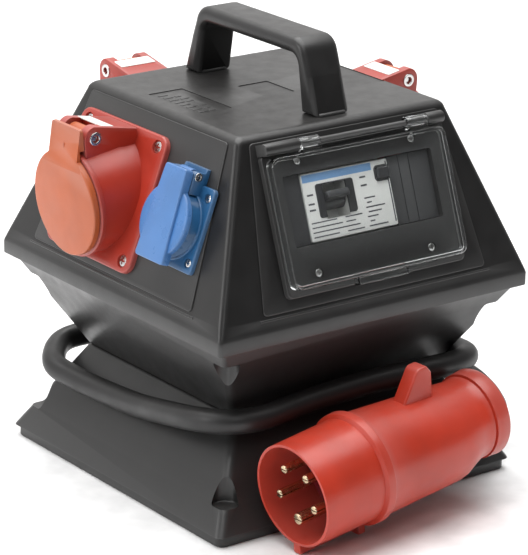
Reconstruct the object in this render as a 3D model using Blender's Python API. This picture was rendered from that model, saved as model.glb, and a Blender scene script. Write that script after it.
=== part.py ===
"""Portable power distribution box: a black hood on a flared foot, with a carrying handle, three red
industrial sockets, two blue household sockets, a clear breaker window and a lead wound round the waist.

The origin is the centre of the base's underside. The window faces -Y. Lengths are in metres."""

import math

import bmesh
import bpy
from mathutils import Matrix, Vector
from mathutils.geometry import interpolate_bezier

GAP = 0.0003
WALL = 0.004

# Housing: half widths and heights of the square sections.
PLINTH_HALF, PLINTH_TOP = 0.1234, 0.0072
FOOT_HALF, FOOT_BOTTOM = 0.1262, PLINTH_TOP + GAP
WAIST_HALF, WAIST_Z = 0.0873, 0.073
TRAY_HALF, BAND_BOTTOM = 0.1245, 0.136
BAND_HALF, BAND_TOP = 0.130, 0.147
TOP_HALF, TOP_Z = 0.086, 0.264
TOP_BEVEL = 0.004
CORNER_R = 0.0045
NOTCH_R, NOTCH_INNER, NOTCH_REACH = 0.009, 0.0295, 0.050

# Handle, across Y, on the top.
HANDLE_HALF_X, HANDLE_TOP, HANDLE_EDGE = 0.0155, 0.3135, 0.0045
GRIP_HALF_Y, GRIP_UNDER = 0.046, 0.302

# Industrial sockets. Their axes point 4 degrees below the horizontal.
CEE_FLANGE_X, CEE_FLANGE_Y, CEE_FLANGE_T = 0.101, 0.095, 0.005
CEE_DROOP = math.radians(4)
CEE_TUBE_R, CEE_WELL_R, CEE_MOUTH = 0.0390, 0.0362, 0.0290
CEE_BARREL_R, CEE_BACK = 0.0385, -0.030
CEE_CORE_R, CEE_CORE_TOP = 0.0300, 0.0210
CEE_LID_R, CEE_LID_T = 0.0362, 0.0080
CEE_BLOCK_HALF = 0.017
CEE_PIN_OUT, CEE_PIN_UP, CEE_PIN_R = 0.0203, 0.0450, 0.0020
CEE_KNUCKLE_R, CEE_KNUCKLE_HALF = 0.0060, 0.0090

# Household sockets, square to the sloping face.
SCHUKO_FLANGE_X, SCHUKO_FLANGE_Y, SCHUKO_FLANGE_T = 0.053, 0.0575, 0.004
SCHUKO_TUBE_R, SCHUKO_WELL_R, SCHUKO_MOUTH = 0.0235, 0.0200, 0.0130
SCHUKO_BACK, SCHUKO_FLOOR = -0.022, -0.008
SCHUKO_LID_R, SCHUKO_LID_T = 0.0245, 0.0045
SCHUKO_STRAP_TOP, SCHUKO_STRAP_FOOT, SCHUKO_STRAP_T = 0.0115, 0.0155, 0.0020
SCHUKO_BLOCK_HALF = 0.0125
SCHUKO_PIN_OUT, SCHUKO_PIN_UP, SCHUKO_PIN_R = 0.0095, 0.0330, 0.0015
SCHUKO_KNUCKLE_R, SCHUKO_KNUCKLE_HALF = 0.0042, 0.0065

# Window on the front: heights are measured up the slope from the band, depths out from the face.
WINDOW_HALF_X, WINDOW_LOW, WINDOW_HIGH = 0.0745, 0.0170, 0.1120
FRAME_T = 0.0050
APERTURE_HALF_X, APERTURE_LOW, APERTURE_HIGH = 0.0620, 0.0485, 0.0955
HOUSING_HOLE_MARGIN = 0.006
COVER_HALF_X, COVER_LOW, COVER_HIGH = 0.0725, 0.0215, 0.1085
COVER_OUT, COVER_WALL, COVER_CORNER = 0.0130, 0.0022, 0.0060
HINGE_UP, HINGE_OUT, HINGE_R, HINGE_PIN_R = 0.1145, 0.0085, 0.0042, 0.0016
KNUCKLES = [(-0.046, -0.030), (0.043, 0.060)]
LATCH_HALF, LATCH_LOW = 0.021, 0.0165

# Breaker behind the window.
RCD_LEFT, RCD_RIGHT, RCD_LOW, RCD_HIGH = -0.0460, 0.0260, 0.0495, 0.0945
RCD_FACE, RCD_SHOULDER, RCD_BACK = 0.0020, -0.0080, -0.0520
TOGGLE_LEFT, TOGGLE_RIGHT, TOGGLE_UP, TOGGLE_R = -0.0300, -0.0120, 0.0740, 0.0060
BUTTON_X, BUTTON_UP, BUTTON_HALF_X, BUTTON_HALF_Y = 0.0200, 0.0855, 0.0050, 0.0040

# Lead and plug.
LEAD_R, LEAD_POINTS = 0.0084, 46
GLAND_AT, GLAND_REACH = Vector((0.110, 0.050, 0.084)), 0.0255
PLUG_MOUTH = Vector((-0.0916, -0.1586, 0.0424))
PLUG_AXIS = Vector((0.9918, 0.0590, 0.1132))
SHROUD_R, SHROUD_BORE, SHROUD_LENGTH = 0.0355, 0.0332, 0.0530
COLLAR_R, COLLAR_LENGTH = 0.0394, 0.0060
PLUG_LENGTH, PLUG_CUP_DEPTH, PLUG_CUP_R = 0.1680, 0.0100, 0.0245
PLUG_BODY_LOW = SHROUD_LENGTH + COLLAR_LENGTH / 2 + GAP
# Radius, distance along the plug and how far the section sits below the plug's axis.
PLUG_BODY = [
    (0.0368, PLUG_BODY_LOW, 0.0), (0.0366, 0.0620, 0.0006), (0.0350, 0.0950, 0.0022),
    (0.0336, 0.1280, 0.0038), (0.0316, 0.1380, 0.0026), (0.0288, 0.1500, 0.0008),
    (0.0304, 0.1600, 0.0), (0.0310, PLUG_LENGTH, 0.0),
]
TAIL_NUT_R, TAIL_NUT_T, LEAD_STRAIGHT = 0.0150, 0.0037, 0.0080
ROUTE = [
    (0.1090, -0.0120, 0.0830), (0.1060, -0.0400, 0.0810), (0.1060, -0.0660, 0.0800),
    (0.1070, -0.0860, 0.0805), (0.1010, -0.1030, 0.0825), (0.0850, -0.1125, 0.0840),
    (0.0600, -0.1130, 0.0845), (0.0300, -0.1095, 0.0838), (0.0000, -0.1070, 0.0825),
    (-0.0450, -0.1070, 0.0800), (-0.0780, -0.1090, 0.0780), (-0.1000, -0.1010, 0.0770),
    (-0.1110, -0.0800, 0.0745), (-0.1120, -0.0500, 0.0690), (-0.1090, -0.0100, 0.0610),
    (-0.1085, 0.0350, 0.0570), (-0.1110, 0.0700, 0.0575), (-0.1110, 0.0930, 0.0605),
    (-0.0930, 0.1140, 0.0650), (-0.0700, 0.1160, 0.0675), (-0.0200, 0.1120, 0.0650),
    (0.0350, 0.1110, 0.0600), (0.0750, 0.1150, 0.0570), (0.1020, 0.1090, 0.0580),
    (0.1140, 0.0860, 0.0560), (0.1120, 0.0450, 0.0560), (0.1085, 0.0050, 0.0585),
    (0.1070, -0.0350, 0.0620), (0.1085, -0.0650, 0.0625), (0.1110, -0.0920, 0.0625),
    (0.1130, -0.1090, 0.0565), (0.1080, -0.1260, 0.0520), (0.0950, -0.1405, 0.0545),
]

# Where the sockets sit on their face: across and up the slope.
CEE_SOCKETS = {"left": (-0.0265, 0.0615), "rear": (0.0260, 0.0685), "right": (0.0225, 0.0635)}
SCHUKO_SOCKETS = {"left": (0.0587, 0.0605), "rear": (-0.0580, 0.0605)}
SIDES = {"front": 0, "right": 1, "rear": 2, "left": 3}
SLOPE = math.atan2(BAND_HALF - TOP_HALF, TOP_Z - BAND_TOP)

for old in list(bpy.data.objects):
    bpy.data.objects.remove(old)


# Materials: colour, roughness and metallic value.
def material(name, colour, rough, metal=0.0, alpha=1.0):
    made = bpy.data.materials.new(name)
    made.use_nodes = True
    shader = made.node_tree.nodes["Principled BSDF"]
    shader.inputs["Base Color"].default_value = (*colour, 1)
    shader.inputs["Roughness"].default_value = rough
    shader.inputs["Metallic"].default_value = metal
    shader.inputs["Alpha"].default_value = alpha
    return made


BLACK = material("black_plastic", (0.035, 0.035, 0.036), 0.45)
RUBBER = material("black_rubber", (0.03, 0.03, 0.03), 0.6)
RED = material("red_plastic", (0.62, 0.07, 0.04), 0.4)
BLUE = material("blue_plastic", (0.10, 0.30, 0.68), 0.4)
STEEL = material("pin_steel", (0.7, 0.7, 0.7), 0.25, 1.0)
GREY = material("device_grey", (0.72, 0.71, 0.68), 0.5)
DARK = material("control_grey", (0.10, 0.10, 0.11), 0.5)
CLEAR = material("clear_cover", (0.85, 0.88, 0.88), 0.08, 0.0, 0.35)


# Mesh builders.
def box(low, high):
    shape = bmesh.new()
    size = Vector(high) - Vector(low)
    centre = (Vector(high) + Vector(low)) / 2
    bmesh.ops.create_cube(shape, size=1, matrix=Matrix.Translation(centre) @ Matrix.Diagonal((*size, 1)))
    return shape


def extruded(outline, low, high, place=Matrix()):
    """A closed outline in X and Y, anticlockwise, made solid from height low to high."""
    shape = bmesh.new()
    face = shape.faces.new([shape.verts.new((x, y, low)) for x, y in outline])
    made = bmesh.ops.extrude_face_region(shape, geom=[face])
    for vertex in (v for v in made["geom"] if isinstance(v, bmesh.types.BMVert)):
        vertex.co.z = high
    bmesh.ops.transform(shape, matrix=place, verts=shape.verts)
    bmesh.ops.recalc_face_normals(shape, faces=shape.faces)
    return shape


def turned(profile, steps, place=Matrix()):
    """A closed profile of (radius, height) points, turned about Z."""
    shape = bmesh.new()
    rings = []
    for radius, height in profile:
        if radius == 0:
            rings.append([shape.verts.new((0, 0, height))])
            continue
        turns = [2 * math.pi * step / steps for step in range(steps)]
        rings.append([shape.verts.new((radius * math.cos(t), radius * math.sin(t), height)) for t in turns])
    for low, high in zip(rings, rings[1:] + rings[:1]):
        if len(low) == len(high) == 1:
            continue
        for step in range(steps):
            after = (step + 1) % steps
            corners = [low[step % len(low)], low[after % len(low)]]
            corners += [high[after % len(high)], high[step % len(high)]]
            shape.faces.new(list(dict.fromkeys(corners)))
    bmesh.ops.transform(shape, matrix=place, verts=shape.verts)
    bmesh.ops.recalc_face_normals(shape, faces=shape.faces)
    return shape


def rounded_square(half_x, half_y, radius, steps=3):
    outline = []
    for quarter, (side_x, side_y) in enumerate(((1, 1), (-1, 1), (-1, -1), (1, -1))):
        for step in range(steps + 1):
            turn = math.pi / 2 * (quarter + step / steps)
            x = side_x * (half_x - radius) + radius * math.cos(turn)
            outline.append((x, side_y * (half_y - radius) + radius * math.sin(turn)))
    return outline


def lofted(sections):
    """Rounded square sections of (height, half width, corner radius), joined and capped. A closed cup
    goes up its outside and back down its inside."""
    shape = bmesh.new()
    rings = []
    for height, half, radius in sections:
        rings.append([shape.verts.new((x, y, height)) for x, y in rounded_square(half, half, radius)])
    for low, high in zip(rings, rings[1:]):
        for step in range(len(low)):
            after = (step + 1) % len(low)
            shape.faces.new((low[step], low[after], high[after], high[step]))
    return shape, rings


def shell(outside, inside, closed_end):
    """A cup between two lofts: closed_end is "top" or "bottom", and the other end is open."""
    outer, inner = list(outside), list(inside)
    if closed_end == "bottom":
        outer, inner = outer[::-1], inner[::-1]
    shape, rings = lofted(outer + inner[::-1])
    first, last = rings[0], rings[-1]
    for step in range(len(first)):
        after = (step + 1) % len(first)
        shape.faces.new((first[step], last[step], last[after], first[after]))
    outer_end, inner_end = rings[len(outer) - 1], rings[len(outer)]
    for step in range(len(first)):
        after = (step + 1) % len(first)
        strip = (outer_end[step], outer_end[after], inner_end[after], inner_end[step])
        shape.faces.remove(shape.faces.get(strip))
    shape.faces.new(outer_end)
    shape.faces.new(inner_end)
    bmesh.ops.recalc_face_normals(shape, faces=shape.faces)
    return shape


# Objects.
def node(name, shape, finish, place=Matrix()):
    mesh = bpy.data.meshes.new(name)
    shape.to_mesh(mesh)
    shape.free()
    mesh.shade_smooth()
    mesh.set_sharp_from_angle(angle=math.radians(30))
    mesh.materials.append(finish)
    made = bpy.data.objects.new(name, mesh)
    made.matrix_world = place
    bpy.context.scene.collection.objects.link(made)
    return made


def combine(target, shape, operation, place=Matrix()):
    """Joins a hidden helper shape to the target, or cuts it out."""
    helper = node(f"{target.name}.{operation.lower()}{len(target.modifiers)}", shape, BLACK, place)
    helper.hide_render = True
    helper.display_type = "WIRE"
    modifier = target.modifiers.new(helper.name, "BOOLEAN")
    modifier.operation = operation
    modifier.object = helper


def softened(target, width, segments=1):
    bevel = target.modifiers.new("softened", "BEVEL")
    bevel.width = width
    bevel.segments = segments
    bevel.limit_method = "ANGLE"
    bevel.angle_limit = math.radians(40)


def face_place(side, across, up):
    """Local X to the right seen from outside, Y up the slope, Z straight out of the sloping face."""
    turn = Matrix.Rotation(math.pi / 2 * SIDES[side], 4, "Z")
    foot = Matrix.Translation((0, -BAND_HALF, BAND_TOP))
    lean = Matrix.Rotation(math.pi / 2 - SLOPE, 4, "X")
    return turn @ foot @ lean @ Matrix.Translation((across, up, 0))


AXIS_X = Matrix.Rotation(math.pi / 2, 4, "Y")
# Turns an outline in X and Y, extruded along Z, into one in Z and Y, extruded along X.
SIDE_ON = Matrix(((0, 0, 1, 0), (0, 1, 0, 0), (1, 0, 0, 0), (0, 0, 0, 1)))


# Housing.
def foot_half(height):
    return FOOT_HALF + (WAIST_HALF - FOOT_HALF) * (height - FOOT_BOTTOM) / (WAIST_Z - FOOT_BOTTOM)


def corner_notches(target, low, high):
    """Round pockets cut into the four slanting corners, so that the lead can be lashed there."""
    half = foot_half(WAIST_Z - NOTCH_INNER)
    centre = half + NOTCH_R / math.sqrt(2)
    for side_x in (-1, 1):
        for side_y in (-1, 1):
            rod = turned([(0, low), (NOTCH_R, low), (NOTCH_R, high), (0, high)], 16)
            place = Matrix.Translation((side_x * centre, side_y * centre, 0))
            combine(target, rod, "DIFFERENCE", place)


node("base_plate", extruded(rounded_square(PLINTH_HALF, PLINTH_HALF, 0.006), 0, PLINTH_TOP), BLACK)

foot = node(
    "foot_skirt",
    shell(
        [(FOOT_BOTTOM, FOOT_HALF, 0.006), (WAIST_Z, WAIST_HALF, 0.006)],
        [(FOOT_BOTTOM, FOOT_HALF - 0.010, 0.006), (WAIST_Z - WALL, WAIST_HALF - 0.010, 0.006)],
        "top",
    ),
    BLACK,
)
corner_notches(foot, 2 * WAIST_Z - 0.123, WAIST_Z - 0.010)

TRAY_BOTTOM, TRAY_TOP = WAIST_Z + GAP, BAND_BOTTOM - GAP
tray = node(
    "lower_tray",
    shell(
        [(TRAY_BOTTOM, WAIST_HALF, 0.006), (TRAY_TOP, TRAY_HALF, 0.003)],
        [(TRAY_BOTTOM + WALL, WAIST_HALF - 0.008, 0.006), (TRAY_TOP, TRAY_HALF - 0.010, 0.003)],
        "bottom",
    ),
    BLACK,
)
corner_notches(tray, WAIST_Z + 0.010, 0.123)
combine(tray, box((0.0870, GLAND_AT.y, 0.0745), (0.1240, GLAND_AT.y + 0.030, 0.0990)), "UNION")

hood = node(
    "upper_housing",
    shell(
        [
            (BAND_BOTTOM, BAND_HALF, 0.003),
            (BAND_TOP, BAND_HALF, 0.003),
            (BAND_TOP + 0.008, BAND_HALF - 0.003, CORNER_R),
            (TOP_Z - TOP_BEVEL, TOP_HALF + TOP_BEVEL * math.tan(SLOPE), CORNER_R),
            (TOP_Z, TOP_HALF - TOP_BEVEL, CORNER_R / 2),
        ],
        [
            (BAND_BOTTOM, TRAY_HALF - 0.010, 0.006),
            (BAND_BOTTOM + WALL, TRAY_HALF - 0.010, 0.006),
            (BAND_BOTTOM + WALL + 0.001, BAND_HALF - 0.006, 0.008),
            (BAND_TOP, BAND_HALF - 0.006, 0.008),
            (TOP_Z - WALL, TOP_HALF - 0.0032, 0.008),
        ],
        "top",
    ),
    BLACK,
)

half_arch = [(0.0745, TOP_Z + GAP), (0.0665, 0.290), (0.0620, 0.302)]
for turn in (20, 45, 70):
    angle = math.radians(turn)
    half_arch.append((0.048 + 0.013 * math.cos(angle), HANDLE_TOP - 0.013 + 0.013 * math.sin(angle)))
half_arch += [(0.046, HANDLE_TOP)]
half_gap = [(GRIP_HALF_Y - 0.001, GRIP_UNDER), (0.0510, 0.2995), (0.0535, 0.295), (0.0555, 0.285)]
half_gap += [(0.0590, TOP_Z + GAP)]
arch = half_arch + [(-y, z) for y, z in half_arch[::-1]]
arch += [(-y, z) for y, z in half_gap[::-1]] + half_gap
stand = Matrix.Rotation(math.pi / 2, 4, "Z") @ Matrix.Rotation(math.pi / 2, 4, "X")
handle = node("handle", extruded(arch, -HANDLE_HALF_X, HANDLE_HALF_X, stand), BLACK)
softened(handle, HANDLE_EDGE)


# Industrial sockets.
def cee_socket(side, across, up_slope):
    place = face_place(side, across, up_slope)
    droop = place @ Matrix.Rotation(SLOPE + CEE_DROOP, 4, "X")
    hole_r = CEE_BARREL_R + 0.0010
    hole = [(0, CEE_BACK - 0.01), (hole_r, CEE_BACK - 0.01), (hole_r, 0.020), (0, 0.020)]
    combine(hood, turned(hole, 26), "DIFFERENCE", droop)

    flange = extruded(rounded_square(CEE_FLANGE_X / 2, CEE_FLANGE_Y / 2, 0.009), GAP, CEE_FLANGE_T)
    body = node(f"{side}_cee_body", flange, RED, place)
    collar_r = CEE_TUBE_R + 0.0015
    tube = [
        (0, CEE_BACK), (CEE_BARREL_R, CEE_BACK), (CEE_BARREL_R, -0.002), (CEE_TUBE_R, 0.002),
        (CEE_TUBE_R, CEE_MOUTH - 0.005), (collar_r, CEE_MOUTH - 0.004), (collar_r, CEE_MOUTH), (0, CEE_MOUTH),
    ]
    combine(body, turned(tube, 26), "UNION", droop)
    out, up, round_r = CEE_PIN_OUT, CEE_PIN_UP, CEE_MOUTH - CEE_PIN_OUT - 0.0001
    block = [(-0.013, 0.0295), (out + round_r, 0.0310)]
    for turn in range(0, 91, 15):
        angle = math.radians(turn)
        block.append((out + round_r * math.cos(angle), up + round_r * math.sin(angle)))
    block += [(-0.013, 0.0450)]
    combine(body, extruded(block, -CEE_BLOCK_HALF, CEE_BLOCK_HALF, SIDE_ON), "UNION", droop)
    slot_low = (-CEE_KNUCKLE_HALF - 0.001, up - 0.0085, out - 0.0080)
    slot_high = (CEE_KNUCKLE_HALF + 0.001, up + 0.020, out + 0.020)
    combine(body, box(slot_low, slot_high), "DIFFERENCE", droop)
    well = [(0, CEE_BACK + 0.004), (CEE_WELL_R, CEE_BACK + 0.004), (CEE_WELL_R, 0.05), (0, 0.05)]
    combine(body, turned(well, 26), "DIFFERENCE", droop)
    at_pin = droop @ Matrix.Translation((0, up, out)) @ AXIS_X
    bore = CEE_PIN_R + 0.00035
    combine(body, turned([(0, -0.03), (bore, -0.03), (bore, 0.03), (0, 0.03)], 10), "DIFFERENCE", at_pin)

    low = CEE_BACK + 0.004 + GAP
    core_profile = [(0, low), (CEE_CORE_R, low), (CEE_CORE_R, CEE_CORE_TOP), (0, CEE_CORE_TOP)]
    core = node(f"{side}_cee_insert", turned(core_profile, 24), RED, droop)
    for pole in range(5):
        turn = math.radians(-90 + 72 * pole)
        socket_r = 0.0042 if pole == 0 else 0.0034
        hole = [(0, -0.012), (socket_r, -0.012), (socket_r, 0.03), (0, 0.03)]
        spot = Matrix.Translation((0.0155 * math.cos(turn), 0.0155 * math.sin(turn), 0))
        combine(core, turned(hole, 8), "DIFFERENCE", droop @ spot)

    half = CEE_BLOCK_HALF - 0.0010
    pin = [(0, -half), (CEE_PIN_R, -half), (CEE_PIN_R, half), (0, half)]
    node(f"{side}_cee_hinge_pin", turned(pin, 10), STEEL, at_pin)

    # The lid widens from the hinge to a disc over the mouth. Its origin is on the hinge axis.
    near = CEE_MOUTH - out + 0.0005
    far = near + CEE_LID_T
    head = 0.0055
    reach = math.hypot(CEE_BLOCK_HALF, up + head)
    touch = math.atan2(up + head, CEE_BLOCK_HALF) - math.acos(CEE_LID_R / reach)
    outline = [(CEE_BLOCK_HALF, head - 0.002), (CEE_BLOCK_HALF - 0.002, head)]
    outline += [(0.002 - CEE_BLOCK_HALF, head), (-CEE_BLOCK_HALF, head - 0.002)]
    for step in range(25):
        angle = math.pi - touch + (math.pi + 2 * touch) * step / 24
        outline.append((CEE_LID_R * math.cos(angle), CEE_LID_R * math.sin(angle) - up))
    lid_shape = extruded(outline, near, far)
    lid = node(f"{side}_cee_lid", lid_shape, RED, droop @ Matrix.Translation((0, up, out)))
    thin = near + 0.0036
    wedge = [(thin, 0.010), (thin, -0.002), (far, -0.0145), (far + 0.005, -0.0145), (far + 0.005, 0.010)]
    combine(lid, extruded(wedge, -0.05, 0.05, SIDE_ON), "DIFFERENCE", lid.matrix_world)
    tongue = box((-CEE_KNUCKLE_HALF, -0.0030, 0), (CEE_KNUCKLE_HALF, 0.0030, near + 0.002))
    combine(lid, tongue, "UNION", lid.matrix_world)
    half = CEE_KNUCKLE_HALF
    knuckle = [(0, -half), (CEE_KNUCKLE_R, -half), (CEE_KNUCKLE_R, half), (0, half)]
    combine(lid, turned(knuckle, 16), "UNION", at_pin)
    combine(lid, turned([(0, -0.03), (bore, -0.03), (bore, 0.03), (0, 0.03)], 10), "DIFFERENCE", at_pin)


# Household sockets.
def schuko_socket(side, across, up_slope):
    place = face_place(side, across, up_slope)
    hole_r = SCHUKO_TUBE_R + 0.0005
    hole = [(0, -0.03), (hole_r, -0.03), (hole_r, 0.02), (0, 0.02)]
    combine(hood, turned(hole, 22), "DIFFERENCE", place)

    flange = extruded(rounded_square(SCHUKO_FLANGE_X / 2, SCHUKO_FLANGE_Y / 2, 0.003), GAP, SCHUKO_FLANGE_T)
    body = node(f"{side}_schuko_body", flange, BLUE, place)
    back_r = SCHUKO_TUBE_R - 0.0005
    tube = [(0, SCHUKO_BACK), (back_r, SCHUKO_BACK), (back_r, SCHUKO_MOUTH), (0, SCHUKO_MOUTH)]
    combine(body, turned(tube, 22), "UNION", place)
    out, up = SCHUKO_PIN_OUT, SCHUKO_PIN_UP
    round_r = SCHUKO_MOUTH - out
    # The hinge block is rounded about the pin and stepped behind it, so that the lid can swing right back.
    block = [(0.0010, 0.021), (out + round_r, 0.021), (out + round_r, up)]
    for turn in (20, 40, 60):
        angle = math.radians(turn)
        block.append((out + round_r * math.cos(angle), up + round_r * math.sin(angle)))
    block += [(out, up + 0.0032), (out - 0.0050, up + 0.0032), (out - 0.0058, up + 0.0062)]
    block += [(0.0010, up + 0.0065)]
    combine(body, extruded(block, -SCHUKO_BLOCK_HALF, SCHUKO_BLOCK_HALF, SIDE_ON), "UNION", place)
    slot_low = (-SCHUKO_KNUCKLE_HALF - 0.001, up - 0.0055, out - 0.0055)
    slot_high = (SCHUKO_KNUCKLE_HALF + 0.001, up + 0.020, out + 0.020)
    combine(body, box(slot_low, slot_high), "DIFFERENCE", place)
    well = [(0, SCHUKO_BACK + 0.003), (SCHUKO_WELL_R, SCHUKO_BACK + 0.003), (SCHUKO_WELL_R, 0.03), (0, 0.03)]
    combine(body, turned(well, 22), "DIFFERENCE", place)
    at_pin = place @ Matrix.Translation((0, up, out)) @ AXIS_X
    bore = SCHUKO_PIN_R + 0.00035
    combine(body, turned([(0, -0.03), (bore, -0.03), (bore, 0.03), (0, 0.03)], 10), "DIFFERENCE", at_pin)

    low, top = SCHUKO_BACK + 0.003 + GAP, SCHUKO_FLOOR
    radius = SCHUKO_WELL_R - 2 * GAP
    core_shape = turned([(0, low), (radius, low), (radius, top), (0, top)], 24)
    core = node(f"{side}_schuko_insert", core_shape, BLUE, place)
    for side_x in (-1, 1):
        hole = [(0, low + 0.002), (0.0028, low + 0.002), (0.0028, 0.01), (0, 0.01)]
        combine(core, turned(hole, 8), "DIFFERENCE", place @ Matrix.Translation((side_x * 0.0095, 0, 0)))

    half = SCHUKO_BLOCK_HALF - 0.0010
    pin = [(0, -half), (SCHUKO_PIN_R, -half), (SCHUKO_PIN_R, half), (0, half)]
    node(f"{side}_schuko_hinge_pin", turned(pin, 10), STEEL, at_pin)

    near = SCHUKO_MOUTH - out + 0.0006
    far = near + SCHUKO_LID_T
    radius = SCHUKO_LID_R
    disc_profile = [(0, near), (radius, near), (radius, far - 0.0008), (radius - 0.0008, far), (0, far)]
    disc = turned(disc_profile, 22, Matrix.Translation((0, -up, 0)))
    lid = node(f"{side}_schuko_lid", disc, BLUE, place @ Matrix.Translation((0, up, out)))
    top_half, foot_half_x = SCHUKO_STRAP_TOP, SCHUKO_STRAP_FOOT
    low = -up - SCHUKO_FLANGE_Y / 2 + 0.001
    strap = [(-foot_half_x, low), (foot_half_x, low), (top_half, 0.0030), (-top_half, 0.0030)]
    combine(lid, extruded(strap, near, far + SCHUKO_STRAP_T), "UNION", lid.matrix_world)
    tongue = box((-SCHUKO_KNUCKLE_HALF, -0.0025, 0), (SCHUKO_KNUCKLE_HALF, 0.0025, near + 0.001))
    combine(lid, tongue, "UNION", lid.matrix_world)
    half = SCHUKO_KNUCKLE_HALF
    knuckle = [(0, -half), (SCHUKO_KNUCKLE_R, -half), (SCHUKO_KNUCKLE_R, half), (0, half)]
    combine(lid, turned(knuckle, 14), "UNION", at_pin)
    combine(lid, turned([(0, -0.03), (bore, -0.03), (bore, 0.03), (0, 0.03)], 10), "DIFFERENCE", at_pin)


for side, spot in CEE_SOCKETS.items():
    cee_socket(side, *spot)
for side, spot in SCHUKO_SOCKETS.items():
    schuko_socket(side, *spot)


# Window and breaker.
front = face_place("front", 0, 0)
hole_low = (-APERTURE_HALF_X - HOUSING_HOLE_MARGIN, APERTURE_LOW - HOUSING_HOLE_MARGIN, -0.03)
hole_high = (APERTURE_HALF_X + HOUSING_HOLE_MARGIN, APERTURE_HIGH + HOUSING_HOLE_MARGIN, 0.03)
combine(hood, box(hole_low, hole_high), "DIFFERENCE", front)

slab = box((-WINDOW_HALF_X, WINDOW_LOW, GAP), (WINDOW_HALF_X, WINDOW_HIGH, FRAME_T))
frame = node("window_frame", slab, BLACK, front)
aperture = box((-APERTURE_HALF_X, APERTURE_LOW, -0.01), (APERTURE_HALF_X, APERTURE_HIGH, 0.02))
combine(frame, aperture, "DIFFERENCE", front)
at_hinge = front @ Matrix.Translation((0, HINGE_UP, HINGE_OUT))
for low, high in ((-WINDOW_HALF_X, KNUCKLES[0][0] - 2 * GAP), (KNUCKLES[1][1] + 2 * GAP, WINDOW_HALF_X)):
    ear = [(0, low), (HINGE_R, low), (HINGE_R, high), (0, high)]
    combine(frame, turned(ear, 16), "UNION", at_hinge @ AXIS_X)
    ear_foot = box((low, WINDOW_HIGH - 0.001, GAP), (high, HINGE_UP + 0.0042, HINGE_OUT))
    combine(frame, ear_foot, "UNION", front)
bore = [(0, -WINDOW_HALF_X + 0.002), (HINGE_PIN_R + 0.00035, -WINDOW_HALF_X + 0.002)]
bore += [(HINGE_PIN_R + 0.00035, WINDOW_HALF_X + 0.01), (0, WINDOW_HALF_X + 0.01)]
combine(frame, turned(bore, 12), "DIFFERENCE", at_hinge @ AXIS_X)
pin_half = WINDOW_HALF_X - 0.0025
pin = [(0, -pin_half), (HINGE_PIN_R, -pin_half), (HINGE_PIN_R, pin_half), (0, pin_half)]
node("window_hinge_pin", turned(pin, 10), STEEL, at_hinge @ AXIS_X)

# The clear cover is a shallow tray, open towards the frame. Its origin is on the hinge axis.
cover_mid = (COVER_LOW + COVER_HIGH) / 2
cover_half_y = (COVER_HIGH - COVER_LOW) / 2
cover_outline = rounded_square(COVER_HALF_X, cover_half_y, COVER_CORNER)
from_hinge = Matrix.Translation((0, cover_mid - HINGE_UP, -HINGE_OUT))
cover_shape = extruded(cover_outline, FRAME_T + 2 * GAP, COVER_OUT, from_hinge)
cover = node("window_cover", cover_shape, CLEAR, at_hinge)
hollow_half_x, hollow_half_y = COVER_HALF_X - COVER_WALL, cover_half_y - COVER_WALL
hollow_outline = rounded_square(hollow_half_x, hollow_half_y, COVER_CORNER - COVER_WALL)
hollow = extruded(hollow_outline, 0, COVER_OUT - COVER_WALL, Matrix.Translation((0, cover_mid, 0)))
combine(cover, hollow, "DIFFERENCE", front)
latch = box((-LATCH_HALF, LATCH_LOW, FRAME_T + 2 * GAP), (LATCH_HALF, COVER_LOW + 0.001, COVER_OUT - 0.001))
combine(cover, latch, "UNION", front)
for low, high in KNUCKLES:
    knuckle = [(0, low), (HINGE_R - 0.0002, low), (HINGE_R - 0.0002, high), (0, high)]
    combine(cover, turned(knuckle, 16), "UNION", at_hinge @ AXIS_X)
    web = box((low, COVER_HIGH - 0.001, HINGE_OUT - 0.0010), (high, HINGE_UP, HINGE_OUT + 0.0035))
    combine(cover, web, "UNION", front)
combine(cover, turned(bore, 12), "DIFFERENCE", at_hinge @ AXIS_X)

nose = box((RCD_LEFT, RCD_LOW, RCD_BACK + 0.001), (RCD_RIGHT, RCD_HIGH, RCD_FACE))
rcd = node("rcd_body", nose, GREY, front)
rcd_case = box((RCD_LEFT, RCD_LOW - 0.020, RCD_BACK), (RCD_RIGHT, RCD_HIGH + 0.020, RCD_SHOULDER))
combine(rcd, rcd_case, "UNION", front)
slot_low = (TOGGLE_LEFT - 0.0005, TOGGLE_UP - 0.0115, RCD_FACE - 0.0140)
slot_high = (TOGGLE_RIGHT + 0.0005, TOGGLE_UP + 0.0115, 0.02)
combine(rcd, box(slot_low, slot_high), "DIFFERENCE", front)
button_well = box(
    (BUTTON_X - BUTTON_HALF_X - 0.0004, BUTTON_UP - BUTTON_HALF_Y - 0.0004, RCD_FACE - 0.0080),
    (BUTTON_X + BUTTON_HALF_X + 0.0004, BUTTON_UP + BUTTON_HALF_Y + 0.0004, 0.02),
)
combine(rcd, button_well, "DIFFERENCE", front)
at_toggle = front @ Matrix.Translation((0, TOGGLE_UP, RCD_FACE - 0.0072))
barrel = [(0, TOGGLE_LEFT), (TOGGLE_R, TOGGLE_LEFT), (TOGGLE_R, TOGGLE_RIGHT), (0, TOGGLE_RIGHT)]
toggle = node("rcd_toggle", turned(barrel, 16, AXIS_X), DARK, at_toggle)
lever = box((TOGGLE_LEFT, -0.0025, 0), (TOGGLE_RIGHT, 0.0025, 0.0130))
combine(toggle, lever, "UNION", at_toggle @ Matrix.Rotation(math.radians(-22), 4, "X"))
button_shape = box(
    (-BUTTON_HALF_X, -BUTTON_HALF_Y, RCD_FACE - 0.0050), (BUTTON_HALF_X, BUTTON_HALF_Y, RCD_FACE + 0.0025)
)
node("rcd_test_button", button_shape, DARK, front @ Matrix.Translation((BUTTON_X, BUTTON_UP, 0)))

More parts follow.
